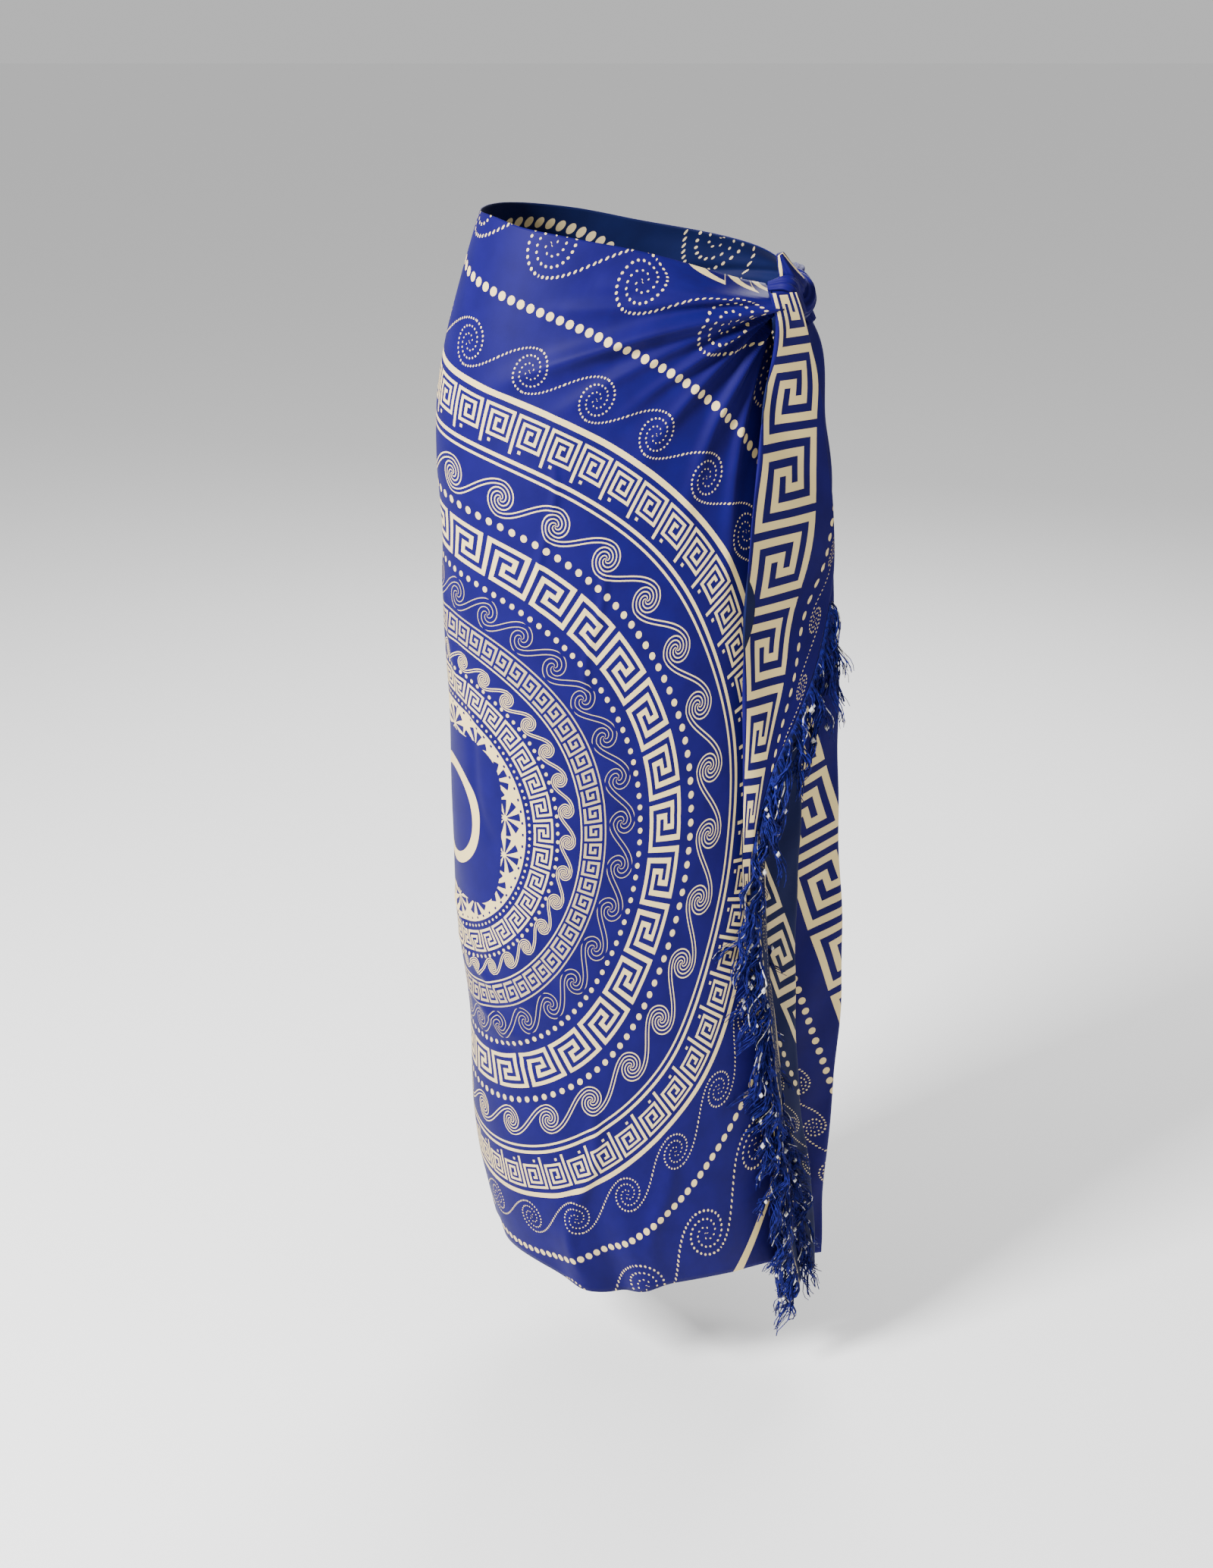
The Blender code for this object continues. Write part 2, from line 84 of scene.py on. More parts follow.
# Top edge and hem of each panel, by share of the way from the right hip to the panel's end
Edge = namedtuple("Edge", "share top hem")
FRONT_EDGES = (
    Edge(0.00, 0.014, -1.036),
    Edge(0.15, 0.013, -1.037),
    Edge(0.28, 0.006, -1.042),
    Edge(0.40, 0.001, -1.056),
    Edge(0.48, -0.003, -1.064),
    Edge(0.58, -0.008, -1.051),
    Edge(0.70, -0.016, -1.043),
    Edge(0.84, -0.028, -1.042),
    Edge(0.93, -0.036, -1.054),
    Edge(1.00, -0.041, -1.076),
)
BACK_EDGES = (
    Edge(0.00, 0.014, -1.036),
    Edge(0.15, 0.014, -1.034),
    Edge(0.35, 0.006, -1.040),
    Edge(0.55, -0.008, -1.046),
    Edge(0.75, -0.019, -1.042),
    Edge(0.90, -0.028, -1.050),
    Edge(1.00, -0.034, -1.054),
)

# Length of each panel round the body, from the right hip to its end, at each height
Reach = namedtuple("Reach", "height front back")
REACHES = (
    Reach(0.03, 0.318, 0.380),
    Reach(-0.05, 0.329, 0.414),
    Reach(-0.10, 0.366, 0.458),
    Reach(-0.19, 0.384, 0.486),
    Reach(-0.32, 0.381, 0.494),
    Reach(-0.46, 0.382, 0.494),
    Reach(-0.62, 0.390, 0.494),
    Reach(-0.80, 0.400, 0.488),
    Reach(-0.95, 0.411, 0.482),
    Reach(-1.08, 0.421, 0.474),
)

# Gathers that run from the knot: far end, height of the ridge, its half width there and its bow
KNOT_REACH = 0.345
KNOT_HEIGHT = -0.052
Gather = namedtuple("Gather", "reach height ridge half_width sag")
FRONT_GATHERS = (
    Gather(0.165, -0.034, 0.0050, 0.012, 0.000),
    Gather(0.150, -0.064, 0.0055, 0.014, 0.004),
    Gather(0.120, -0.118, 0.0062, 0.018, 0.010),
    Gather(0.165, -0.185, 0.0060, 0.022, 0.014),
    Gather(0.235, -0.205, 0.0052, 0.020, 0.010),
    Gather(0.300, -0.215, 0.0045, 0.016, 0.004),
)
BACK_KNOT_REACH = -0.440
BACK_KNOT_HEIGHT = -0.045
BACK_GATHERS = (
    Gather(-0.210, -0.040, 0.0046, 0.014, 0.000),
    Gather(-0.180, -0.105, 0.0055, 0.018, 0.006),
    Gather(-0.240, -0.200, 0.0058, 0.024, 0.014),
    Gather(-0.330, -0.260, 0.0052, 0.024, 0.010),
    Gather(-0.420, -0.290, 0.0045, 0.020, 0.004),
)
# Finer gathers between the main ones, only in the looks
FINE_GATHERS = (
    Gather(0.171, -0.037, 0.0066, 0.0060, 0.001),
    Gather(0.205, -0.047, 0.0086, 0.0058, 0.001),
    Gather(0.130, -0.060, 0.0066, 0.0070, 0.003),
    Gather(0.190, -0.082, 0.0091, 0.0070, 0.004),
    Gather(0.210, -0.099, 0.0081, 0.0065, 0.004),
    Gather(0.110, -0.124, 0.0091, 0.0095, 0.008),
    Gather(0.165, -0.150, 0.0095, 0.0090, 0.010),
    Gather(0.215, -0.160, 0.0081, 0.0080, 0.006),
    Gather(0.261, -0.118, 0.0086, 0.0060, 0.003),
    Gather(0.250, -0.190, 0.0077, 0.0080, 0.006),
    Gather(0.320, -0.150, 0.0071, 0.0070, 0.002),
    Gather(0.335, -0.330, 0.0077, 0.0090, 0.002),
    Gather(0.290, -0.260, 0.0066, 0.0090, 0.006),
    Gather(0.060, -0.150, 0.0056, 0.0120, 0.014),
)
BACK_FINE_GATHERS = (
    Gather(-0.200, -0.060, 0.0071, 0.0070, 0.002),
    Gather(-0.220, -0.130, 0.0077, 0.0080, 0.006),
    Gather(-0.280, -0.160, 0.0071, 0.0080, 0.008),
    Gather(-0.350, -0.190, 0.0066, 0.0080, 0.004),
)
GATHER_KNOT_WIDTH = 0.35
GATHER_RISE = 0.12
GATHER_FADE_POWER = 0.8

# Soft flutes that open towards the hem: place round the body, height where one starts, outward size
Flute = namedtuple("Flute", "reach start swell half_width")
FLUTES = (
    Flute(0.040, -0.95, -0.0060, 0.020),
    Flute(0.168, -0.88, 0.0085, 0.017),
    Flute(0.205, -0.90, -0.0075, 0.014),
    Flute(0.236, -0.92, 0.0060, 0.016),
    Flute(0.330, -0.96, 0.0030, 0.022),
    Flute(-0.060, -0.80, 0.0090, 0.024),
    Flute(-0.130, -0.70, -0.0100, 0.026),
    Flute(-0.200, -0.62, 0.0120, 0.028),
    Flute(-0.270, -0.58, -0.0110, 0.028),
    Flute(-0.340, -0.52, 0.0140, 0.030),
    Flute(-0.410, -0.48, -0.0110, 0.026),
)
FLUTE_FULL_HEIGHT = -1.06
FLUTE_LIMIT = 1.1
CREASE_BOW = 0.05
CREASE_FADE_POWER = 0.7

# Packing creases and drag wrinkles: two ends, outward size and half width, only in the looks
Crease = namedtuple("Crease", "reach_a height_a reach_b height_b swell half_width")
CREASES = (
    Crease(0.171, -0.165, 0.175, -0.330, 0.0019, 0.0035),
    Crease(0.217, -0.250, 0.222, -0.420, 0.0019, 0.0035),
    Crease(0.150, -0.505, 0.345, -0.500, -0.0017, 0.0030),
    Crease(0.020, -0.690, 0.160, -0.722, 0.0030, 0.0060),
    Crease(0.030, -0.740, 0.150, -0.760, 0.0027, 0.0065),
    Crease(0.050, -0.790, 0.215, -0.785, -0.0023, 0.0060),
    Crease(0.010, -0.650, 0.110, -0.672, 0.0025, 0.0060),
    Crease(0.110, -0.640, 0.240, -0.700, 0.0023, 0.0080),
    Crease(0.010, -0.300, 0.110, -0.450, 0.0023, 0.0090),
    Crease(0.060, -0.400, 0.120, -0.560, -0.0021, 0.0080),
    Crease(0.205, -0.820, 0.175, -1.050, 0.0042, 0.0070),
    Crease(0.280, -0.860, 0.255, -1.045, 0.0036, 0.0090),
    Crease(-0.245, -0.050, -0.245, -1.030, 0.0023, 0.0040),
    Crease(-0.020, -0.502, -0.470, -0.505, -0.0019, 0.0035),
    Crease(-0.080, -0.240, -0.300, -0.330, 0.0034, 0.0120),
    Crease(-0.120, -0.360, -0.380, -0.420, -0.0030, 0.0120),
)

# Waist roll: the gathered top edge swells outwards towards the knot
ROLL_SWELL = 0.010
ROLL_WIDTH = 0.011
ROLL_START = 0.45
ROLL_GROWTH = 1.5

# The front end hangs from the knot as a folded strip: hidden layer, fold on the left, free edge on the right
Fall = namedtuple("Fall", "height hidden_reach fold_reach fold_lift free_x free_y")
FRONT_FALL = (
    Fall(-0.043, 0.352, 0.302, 0.0400, 0.160, -0.102),
    Fall(-0.058, 0.356, 0.314, 0.0360, 0.166, -0.096),
    Fall(-0.072, 0.364, 0.323, 0.0340, 0.171, -0.082),
    Fall(-0.095, 0.374, 0.334, 0.0270, 0.178, -0.071),
    Fall(-0.120, 0.384, 0.341, 0.0175, 0.186, -0.062),
    Fall(-0.185, 0.391, 0.351, 0.0135, 0.197, -0.056),
    Fall(-0.250, 0.388, 0.348, 0.0130, 0.206, -0.051),
    Fall(-0.320, 0.387, 0.348, 0.0125, 0.208, -0.053),
    Fall(-0.370, 0.387, 0.350, 0.0125, 0.197, -0.075),
    Fall(-0.430, 0.387, 0.351, 0.0120, 0.181, -0.100),
    Fall(-0.490, 0.387, 0.352, 0.0120, 0.168, -0.115),
    Fall(-0.560, 0.388, 0.355, 0.0100, 0.156, -0.121),
    Fall(-0.640, 0.392, 0.361, 0.0090, 0.157, -0.122),
    Fall(-0.760, 0.400, 0.376, 0.0090, 0.169, -0.118),
    Fall(-0.880, 0.412, 0.391, 0.0090, 0.184, -0.110),
    Fall(-0.980, 0.415, 0.397, 0.0090, 0.193, -0.105),
    Fall(-1.100, 0.418, 0.402, 0.0090, 0.203, -0.095),
)

# The back end hangs from the knot in a zigzag: rear fold against the hip, inner valley, front fold, free edge
Zigzag = namedtuple("Zigzag", "height rear_x rear_y valley_x valley_y front_x front_y free_x free_y")
BACK_FALL = (
    Zigzag(-0.060, 0.172, -0.020, 0.166, -0.026, 0.170, -0.033, 0.166, -0.036),
    Zigzag(-0.087, 0.190, -0.008, 0.172, -0.026, 0.179, -0.037, 0.172, -0.042),
    Zigzag(-0.180, 0.205, -0.004, 0.176, -0.028, 0.186, -0.041, 0.173, -0.050),
    Zigzag(-0.300, 0.217, 0.000, 0.175, -0.029, 0.190, -0.045, 0.167, -0.060),
    Zigzag(-0.420, 0.227, 0.002, 0.171, -0.030, 0.191, -0.050, 0.158, -0.070),
    Zigzag(-0.540, 0.235, 0.003, 0.168, -0.030, 0.191, -0.054, 0.150, -0.078),
    Zigzag(-0.660, 0.242, 0.003, 0.168, -0.030, 0.192, -0.056, 0.150, -0.082),
    Zigzag(-0.780, 0.250, 0.001, 0.172, -0.030, 0.195, -0.056, 0.161, -0.080),
    Zigzag(-0.880, 0.246, -0.002, 0.181, -0.026, 0.206, -0.049, 0.183, -0.069),
    Zigzag(-0.980, 0.240, -0.006, 0.196, -0.018, 0.221, -0.038, 0.206, -0.052),
    Zigzag(-1.100, 0.243, -0.008, 0.208, -0.012, 0.233, -0.029, 0.223, -0.041),
)
REAR_TUCK = 0.030
VALLEY_SIDESTEP = 0.0005
FOLD_RADIUS = 0.007
FOLD_SHARE = 0.45

# Mesh of the hanging folds: steps before and after the bend, and in it
STRIP_STEPS = (12, 44)
REAR_STEPS = (24, 36)
FORE_STEPS = (12, 32)
BEND_STEPS = 10

# Ripples in the hanging folds: size, waves across an arm, waves down a metre and start of each
STRIP_WAVES = ((0.0010, 0.8, 5.0, 0.4), (0.0007, 1.6, 9.0, 1.9))
REAR_WAVES = ((0.0012, 1.2, 4.0, 0.0), (0.0008, 2.1, 8.0, 2.2))
FORE_WAVES = ((0.0008, 1.0, 5.0, 1.0), (0.0005, 1.9, 11.0, 0.3))

# The panels' mesh columns stand closer together near the knot, where the gathers are fine
COLUMN_CROWDING = 0.35

# The knot: two corners twisted round each other once, along an axis that points forwards
KNOT_CENTRE = (0.163, -0.049, -0.052)
KNOT_PITCH = 0.052
STRAND_RADIUS = 0.0092
TWIST_RADIUS = 0.0097
TWIST_STEPS = 14
Lead = namedtuple("Lead", "right back up thickness")
FRONT_LEAD_IN = (Lead(-0.026, -0.040, 0.010, 0.60), Lead(-0.010, -0.046, 0.013, 0.95))
FRONT_LEAD_OUT = (Lead(0.010, 0.032, -0.016, 0.90), Lead(0.020, 0.036, -0.030, 0.60))
BACK_LEAD_IN = (Lead(-0.018, -0.042, 0.040, 0.35), Lead(-0.009, -0.038, 0.022, 0.80))
BACK_LEAD_OUT = (Lead(0.005, 0.036, 0.012, 0.95), Lead(0.005, 0.048, 0.013, 0.86),
                 Lead(0.004, 0.060, 0.010, 0.80))

# Fringe: where it starts along each free edge, its backing strip and how its yarn leans out by height
FRONT_FRINGE_SPAN = (-0.330, -1.085)
BACK_FRINGE_SPAN = (-0.640, -1.060)
STRIP_WIDTH = 0.0040
STRIP_ROWS = 160
YARN_STEPS = 13
EDGE_SLACK = 0.0005
Lean = namedtuple("Lean", "height front_splay front_lean back_splay back_lean")
YARN_LEANS = (
    Lean(-0.330, 0.06, 0.02, 0.10, -0.14),
    Lean(-0.450, 0.02, 0.06, 0.10, -0.14),
    Lean(-0.530, -0.12, 0.07, 0.10, -0.14),
    Lean(-0.620, -0.28, 0.10, 0.04, -0.12),
    Lean(-0.800, -0.26, 0.12, -0.25, -0.08),
    Lean(-1.000, -0.14, 0.12, -0.20, -0.06),
    Lean(-1.085, -0.02, 0.10, -0.20, -0.04),
)

# Where the worn front sits on the flat cloth: middle of the print on the body, and how it spreads from there.
# Each term gives metres of flat cloth, sideways and upwards, for powers of the reach and rise from there.
# These factors aren't chosen by hand: a separate program fitted them to points read off the photo
PRINT_HEIGHT = -0.543
PRINT_REACH = 0.043
Term = namedtuple("Term", "reach_power rise_power sideways upwards")
PRINT_TERMS = (
    Term(1, 0, 0.99, 0.00),
    Term(1, 1, -0.88, -0.06),
    Term(1, 2, 1.99, 1.42),
    Term(1, 3, 0.48, 0.00),
    Term(2, 0, 0.50, 0.14),
    Term(2, 1, 3.50, -1.23),
    Term(2, 2, -4.10, -3.36),
    Term(3, 0, 1.02, -0.72),
    Term(3, 1, -5.54, 2.37),
    Term(0, 1, 0.00, 1.01),
    Term(0, 2, 0.00, -0.08),
    Term(0, 3, 0.00, 0.25),
)

# Where the top edge turns over near the knot, the cream stripe past the scrolls shows in slanting pieces
TURN_START = 0.60
TURN_FULL = 0.745
TURN_PIECES = (0.745, 0.868, 0.945, 1.001)
TURN_RADII = (0.655, 0.686)
TURN_WIDTH = 0.014
BACK_END_REACH = -0.460
PLAIN_SIDE = 0.648

# How much of the front strip's solid width shows, by height; its fringe starts where the cloth turns in
Width = namedtuple("Width", "height share")
STRIP_WIDTHS = (
    Width(-0.072, 1.00),
    Width(-0.330, 1.00),
    Width(-0.400, 0.97),
    Width(-0.432, 0.86),
    Width(-0.468, 0.64),
    Width(-0.504, 0.50),
    Width(-0.548, 0.38),
    Width(-0.620, 0.34),
    Width(-0.800, 0.34),
    Width(-1.100, 0.42),
)

# Print of the front strip: share of its width at which the key band's rim and the row of dots lie.
# Many of these shares come from a separate program that placed points read off the photo on the strip
StripPrint = namedtuple("StripPrint", "height rim dots")
STRIP_PRINT = (
    StripPrint(-0.072, 1.05, 1.35),
    StripPrint(-0.125, 0.97, 1.30),
    StripPrint(-0.156, 0.88, 1.22),
    StripPrint(-0.192, 0.84, 1.14),
    StripPrint(-0.224, 0.81, 1.08),
    StripPrint(-0.256, 0.76, 1.00),
    StripPrint(-0.292, 0.68, 0.89),
    StripPrint(-0.330, 0.57, 0.72),
    StripPrint(-0.400, 0.57, 0.71),
    StripPrint(-0.460, 0.46, 0.62),
    StripPrint(-0.530, 0.41, 0.58),
    StripPrint(-0.700, 0.45, 0.60),
    StripPrint(-1.100, 0.50, 0.65),
)

# On the flat cloth: where the strip's fold lies, widths of its key band, dots and edge, and its rise
STRIP_FOLD_SIDE = 0.672
STRIP_KEY_WIDTH = 0.073
STRIP_DOTS_WIDTH = 0.030
STRIP_EDGE_WIDTH = 0.065
STRIP_PRINT_RISE = 1.046

# Charts of the straight-lined borders, one sign to a cell, as for cross-stitch
KEY_CHART = (
    "#########.",
    "#.......#.",
    "#.#####.#.",
    "#.#...#.#.",
    "#.#.###.#.",
    "#.#.#...#.",
    "#.#.#####.",
    "#.#.......",
    "#.########",
)
SQUARE_CHART = (
    "##########.",
    "#........#.",
    "#.######.#.",
    "#.#....#.#.",
    "#.#.##.#.#.",
    "#.#.#..#.#.",
    "#.#.#..#.#.",
    "#.#.####.#.",
    "#.#......#.",
    "#.########.",
    "#..........",
    "#..#.......",
    "#..........",
)
SMALL_SQUARE_CHART = (
    "######.",
    "#....#.",
    "#.##.#.",
    "#..#.#.",
    "####.#.",
    ".....#.",
    "######.",
)

# Bands round the middle of the print. A band reaches as far as its end; the next one starts there.
# Some of the radii, repeats and phases come from the same fitting program as the print's place
ChartBand = namedtuple("ChartBand", "end inner outer repeats")
KEY_BANDS = (
    ChartBand(0.200, 0.1265, 0.1495, 34),
    ChartBand(9.000, 0.2640, 0.3040, 33),
)
SQUARES = ChartBand(9.000, 0.3900, 0.4300, 68)
SMALL_SQUARES = ChartBand(9.000, 0.1855, 0.2060, 68)
SQUARES_PHASE = 0.21
ScrollBand = namedtuple("ScrollBand", "end radius repeats phase disc pitch line dotted")
SCROLL_BANDS = (
    ScrollBand(0.180, 0.1660, 33, 0.84, 0.0080, 0.0090, 0.00050, 0),
    ScrollBand(0.290, 0.2300, 33, 0.40, 0.0130, 0.0200, 0.00042, 0),
    ScrollBand(0.430, 0.3450, 34, 0.90, 0.0158, 0.0165, 0.00068, 0),
    ScrollBand(0.530, 0.4710, 36, 0.36, 0.0215, 0.0150, 0.00108, 1),
    ScrollBand(9.000, 0.5870, 31, 0.07, 0.0320, 0.0220, 0.00168, 1),
)
DotBand = namedtuple("DotBand", "end radius repeats dot")
DOT_BANDS = (
    DotBand(0.138, 0.1215, 110, 0.0014),
    DotBand(0.200, 0.1545, 112, 0.0019),
    DotBand(0.284, 0.2520, 138, 0.0028),
    DotBand(0.420, 0.3180, 148, 0.0036),
    DotBand(9.000, 0.5240, 264, 0.0045),
)
Ring = namedtuple("Ring", "radius half_width")
RINGS = (
    Ring(0.0500, 0.0058),
    Ring(0.1820, 0.0008),
    Ring(0.2100, 0.0008),
    Ring(0.3755, 0.0013),
    Ring(0.3835, 0.0019),
    Ring(0.4385, 0.0030),
)
# The outermost ring shows only this near the middle of the cloth's length
OUTER_RING = Ring(0.6650, 0.0065)
OUTER_RING_SIDE = 0.54
# The print is paler here, by this share
FAINT_ZONE = Ring(0.2145, 0.0315)
FAINT = 0.36
ROUNDED_SQUARE = 0.087
CREAM_DISC = 0.1170
PALMETTES = 15
PALMETTE_RADIUS = 0.0930
PALMETTE_PETALS = 9
PALMETTE_INNER = 0.003
PALMETTE_OUTER = 0.0185
PALMETTE_LEAF = -0.15
PALMETTE_FOOT = -0.006
EDGE_DOTS = Ring(0.1135, 0.0012)
EDGE_DOT_SHARE = 0.12
SCROLL_MARGIN = 1.15
RINGS_END = 0.640

# Bands across both ends of the cloth, by distance from its middle
END_KEY = (0.675, 0.745)
END_KEY_CELL = 0.0079
END_DOTS = 0.775
END_DOT_SPACING = 0.0140
END_DOT = 0.0040
END_SCROLL = 0.808
END_SCROLL_SPACING = 0.060
END_SCROLL_SCALE = 0.40
END_SCROLL_LIMIT = 0.832


def table_value(rows, column, place, key="height"):
    """Read one column of a table at any place, on a smooth curve through its rows."""
    places = np.array([getattr(row, key) for row in rows])
    values = np.array([getattr(row, column) for row in rows])
    order = np.argsort(places)
    places, values = places[order], values[order]
    slopes = np.gradient(values, places)
    place = np.clip(place, places[0], places[-1])
    i = np.clip(np.searchsorted(places, place) - 1, 0, len(places) - 2)
    step = places[i + 1] - places[i]
    t = (place - places[i]) / step
    return ((2 * t**3 - 3 * t**2 + 1) * values[i] + (t**3 - 2 * t**2 + t) * step * slopes[i]
            + (3 * t**2 - 2 * t**3) * values[i + 1] + (t**3 - t**2) * step * slopes[i + 1])


class WornOutline:
    """The worn outline, looked up by distance round the body from the right hip and by height."""

    HEIGHTS = np.linspace(-1.130, 0.040, 235)
    REACHES = np.linspace(-0.560, 0.500, 531)
    ANGLES = np.linspace(-1.25 * pi, 1.25 * pi, 1201)

    def __init__(self):
        self.rings = np.array([self.ring(height) for height in self.HEIGHTS])

    def ring(self, height):
        left, right, front, back = (table_value(SECTIONS, column, height)
                                    for column in ("left", "right", "front", "back"))
        cosines, sines = np.cos(self.ANGLES), np.sin(self.ANGLES)
        power = 2 / SECTION_POWER
        x = (right - left) / 2 - (right + left) / 2 * np.sign(cosines) * np.abs(cosines)**power
        y = -np.where(sines > 0, front, back) * np.sign(sines) * np.abs(sines)**power
        run = np.concatenate([[0], np.cumsum(np.hypot(np.diff(x), np.diff(y)))])
        tangent_x, tangent_y = np.gradient(x, run), np.gradient(y, run)
        size = np.hypot(tangent_x, tangent_y)
        run = run - run[len(run) // 2]
        return [np.interp(self.REACHES, run, values)
                for values in (x, y, tangent_y / size, -tangent_x / size)]

    def at(self, reach, height, lift=0.0):
        """Points at these reaches and heights, moved outwards by lift."""
        reach, height, lift = np.broadcast_arrays(reach, height, lift)
        row = (np.clip(height, -1.13, 0.04) - self.HEIGHTS[0]) / (self.HEIGHTS[1] - self.HEIGHTS[0])
        column = (np.clip(reach, -0.56, 0.5) - self.REACHES[0]) / (self.REACHES[1] - self.REACHES[0])
        i = np.clip(row.astype(int), 0, len(self.HEIGHTS) - 2)
        j = np.clip(column.astype(int), 0, len(self.REACHES) - 2)
        down, along = row - i, column - j
        x, y, normal_x, normal_y = (
            (layer[i, j] * (1 - along) + layer[i, j + 1] * along) * (1 - down)
            + (layer[i + 1, j] * (1 - along) + layer[i + 1, j + 1] * along) * down
            for layer in self.rings.transpose(1, 0, 2))
        return np.stack([x + lift * normal_x, y + lift * normal_y, height], axis=-1)


OUTLINE = WornOutline()


def gather_lift(reach, height, gathers, knot_reach, knot_height):
    """How far the gathers that fan out from the knot raise the cloth."""
    lift = 0.0
    for gather in gathers:
        run, drop = gather.reach - knot_reach, gather.height - knot_height
        length = np.hypot(run, drop)
        along = ((reach - knot_reach) * run + (height - knot_height) * drop) / length**2
        on = (along > 0) & (along < 1)
        along = np.clip(along, 0, 1)
        bow = gather.sag * np.sin(pi * along)
        across = ((reach - knot_reach) * drop - (height - knot_height) * run) / length
        across = across + (bow if run > 0 else -bow)
        half_width = gather.half_width * (GATHER_KNOT_WIDTH + (1 - GATHER_KNOT_WIDTH) * along)
        fade = np.minimum(1.0, along / GATHER_RISE) * (1 - along)**GATHER_FADE_POWER
        lift = lift + on * gather.ridge * fade * np.exp(-(across / half_width)**2)
    return lift


def flute_lift(reach, height):
    """How far the soft hem flutes raise or sink the cloth."""
    lift = 0.0
    for flute in FLUTES:
        growth = np.clip((flute.start - height) / (flute.start - FLUTE_FULL_HEIGHT), 0, FLUTE_LIMIT)
        lift = lift + flute.swell * growth * np.exp(-((reach - flute.reach) / flute.half_width)**2)
    return lift


def crease_lift(reach, height):
    """How far creases and drag wrinkles raise or sink the cloth."""
    lift = 0.0
    for crease in CREASES:
        run, drop = crease.reach_b - crease.reach_a, crease.height_b - crease.height_a
        length = np.hypot(run, drop)
        along = ((reach - crease.reach_a) * run + (height - crease.height_a) * drop) / length**2
        across = ((reach - crease.reach_a) * drop - (height - crease.height_a) * run) / length
        across = across + CREASE_BOW * length * np.sin(2 * pi * np.clip(along, 0, 1))
        fade = np.sin(pi * np.clip(along, 0, 1))**CREASE_FADE_POWER
        lift = lift + crease.swell * fade * np.exp(-(across / crease.half_width)**2)
    return lift


def fold_lift(reach, height):
    """How far all the soft folds of a panel raise its solid."""
    front = gather_lift(reach, height, FRONT_GATHERS, KNOT_REACH, KNOT_HEIGHT)
    back = gather_lift(reach, height, BACK_GATHERS, BACK_KNOT_REACH, BACK_KNOT_HEIGHT)
    return np.where(reach >= 0, front, back) + flute_lift(reach, height)


def fine_lift(reach, height):
    """The smaller relief that only the looks have."""
    front = gather_lift(reach, height, FINE_GATHERS, KNOT_REACH, KNOT_HEIGHT)
    back = gather_lift(reach, height, BACK_FINE_GATHERS, BACK_KNOT_REACH, BACK_KNOT_HEIGHT)
    slack = 0.0004 * np.sin(61 * reach + 9 * height) * np.sin(37 * height + 5 * reach + 1.0)
    return np.where(reach >= 0, front, back) + crease_lift(reach, height) + slack


def front_cut(reach, height):
    """Place on the flat cloth of a point of the front half."""
    across, rise = reach - PRINT_REACH, height - PRINT_HEIGHT
    u = sum(term.sideways * across**term.reach_power * rise**term.rise_power for term in PRINT_TERMS)
    v = sum(term.upwards * across**term.reach_power * rise**term.rise_power for term in PRINT_TERMS)
    return u, v


def turned_cut(share, reach, height, top):
    """Place on the flat cloth of the front panel, with more cloth turned over the top edge near the knot."""
    u, v = front_cut(reach, height)
    edge_radius = np.hypot(*front_cut(reach, top))
    piece = np.clip(np.searchsorted(TURN_PIECES, share, side="right") - 1, 0, len(TURN_PIECES) - 2)
    ends = np.array(TURN_PIECES)
    across = np.clip((share - ends[piece]) / (ends[piece + 1] - ends[piece]), 0, 1)
    growth = np.clip((share - TURN_START) / (TURN_FULL - TURN_START), 0, 1)
    wanted = TURN_RADII[0] + (TURN_RADII[1] - TURN_RADII[0]) * across
    more = growth**2 * (wanted - edge_radius) * np.exp(-((top - height) / TURN_WIDTH)**2)
    return u, v + more * np.hypot(u, v) / np.abs(v).clip(0.05)


def back_cut(reach, height):
    """Place on the flat cloth of a point of the back half, smoothly on from the front to the hanging end."""
    t = np.clip(reach / BACK_END_REACH, 0, 1.1)
    step = 1e-4
    start, nearby = front_cut(0 * reach, height), front_cut(0 * reach + step, height)
    end = rear_cut(-0.028, 0.190, height)
    end_slope = (0.9 * BACK_END_REACH, 0.0)
    place = []
    for axis in range(2):
        slope = (nearby[axis] - start[axis]) / step * BACK_END_REACH
        place.append((2 * t**3 - 3 * t**2 + 1) * start[axis] + (t**3 - 2 * t**2 + t) * slope
                     + (3 * t**2 - 2 * t**3) * end[axis] + (t**3 - t**2) * end_slope[axis])
    return place


def rear_cut(run, fold_x, height):
    """Place on the flat cloth of the rear hanging fold, run metres on from its hip fold."""
    side = 0.675 + 0.3335 * (-0.517 - height) - 0.995 * (fold_x - 0.217) + 0.9 * run
    return -side, 0.567 + 0.94 * height - 0.35 * fold_x + 0.31 * run


def fore_cut(x, height):
    """Place on the flat cloth of the front hanging fold of the back end."""
    side = 0.675 + 1.94 * (0.154 - x) + 0.680 * (-0.585 - height)
    return -np.maximum(side, PLAIN_SIDE), -0.09 + 0.93 * (height + 0.585) - 0.3 * (x - 0.168)


def strip_cut(share, height):
    """Place on the flat cloth of the front hanging strip, by share of its width from its fold."""
    rim = table_value(STRIP_PRINT, "rim", height)
    dots = table_value(STRIP_PRINT, "dots", height)
    edge = np.maximum(1.0, dots + 0.12)
    u = np.where(share < rim, STRIP_FOLD_SIDE + STRIP_KEY_WIDTH * share / rim,
                 np.where(share < dots, END_KEY[1] + STRIP_DOTS_WIDTH * (share - rim) / (dots - rim),
                          END_DOTS + STRIP_EDGE_WIDTH * (share - dots) / (edge - dots)))
    return u, np.full_like(share, STRIP_PRINT_RISE * (height - PRINT_HEIGHT))


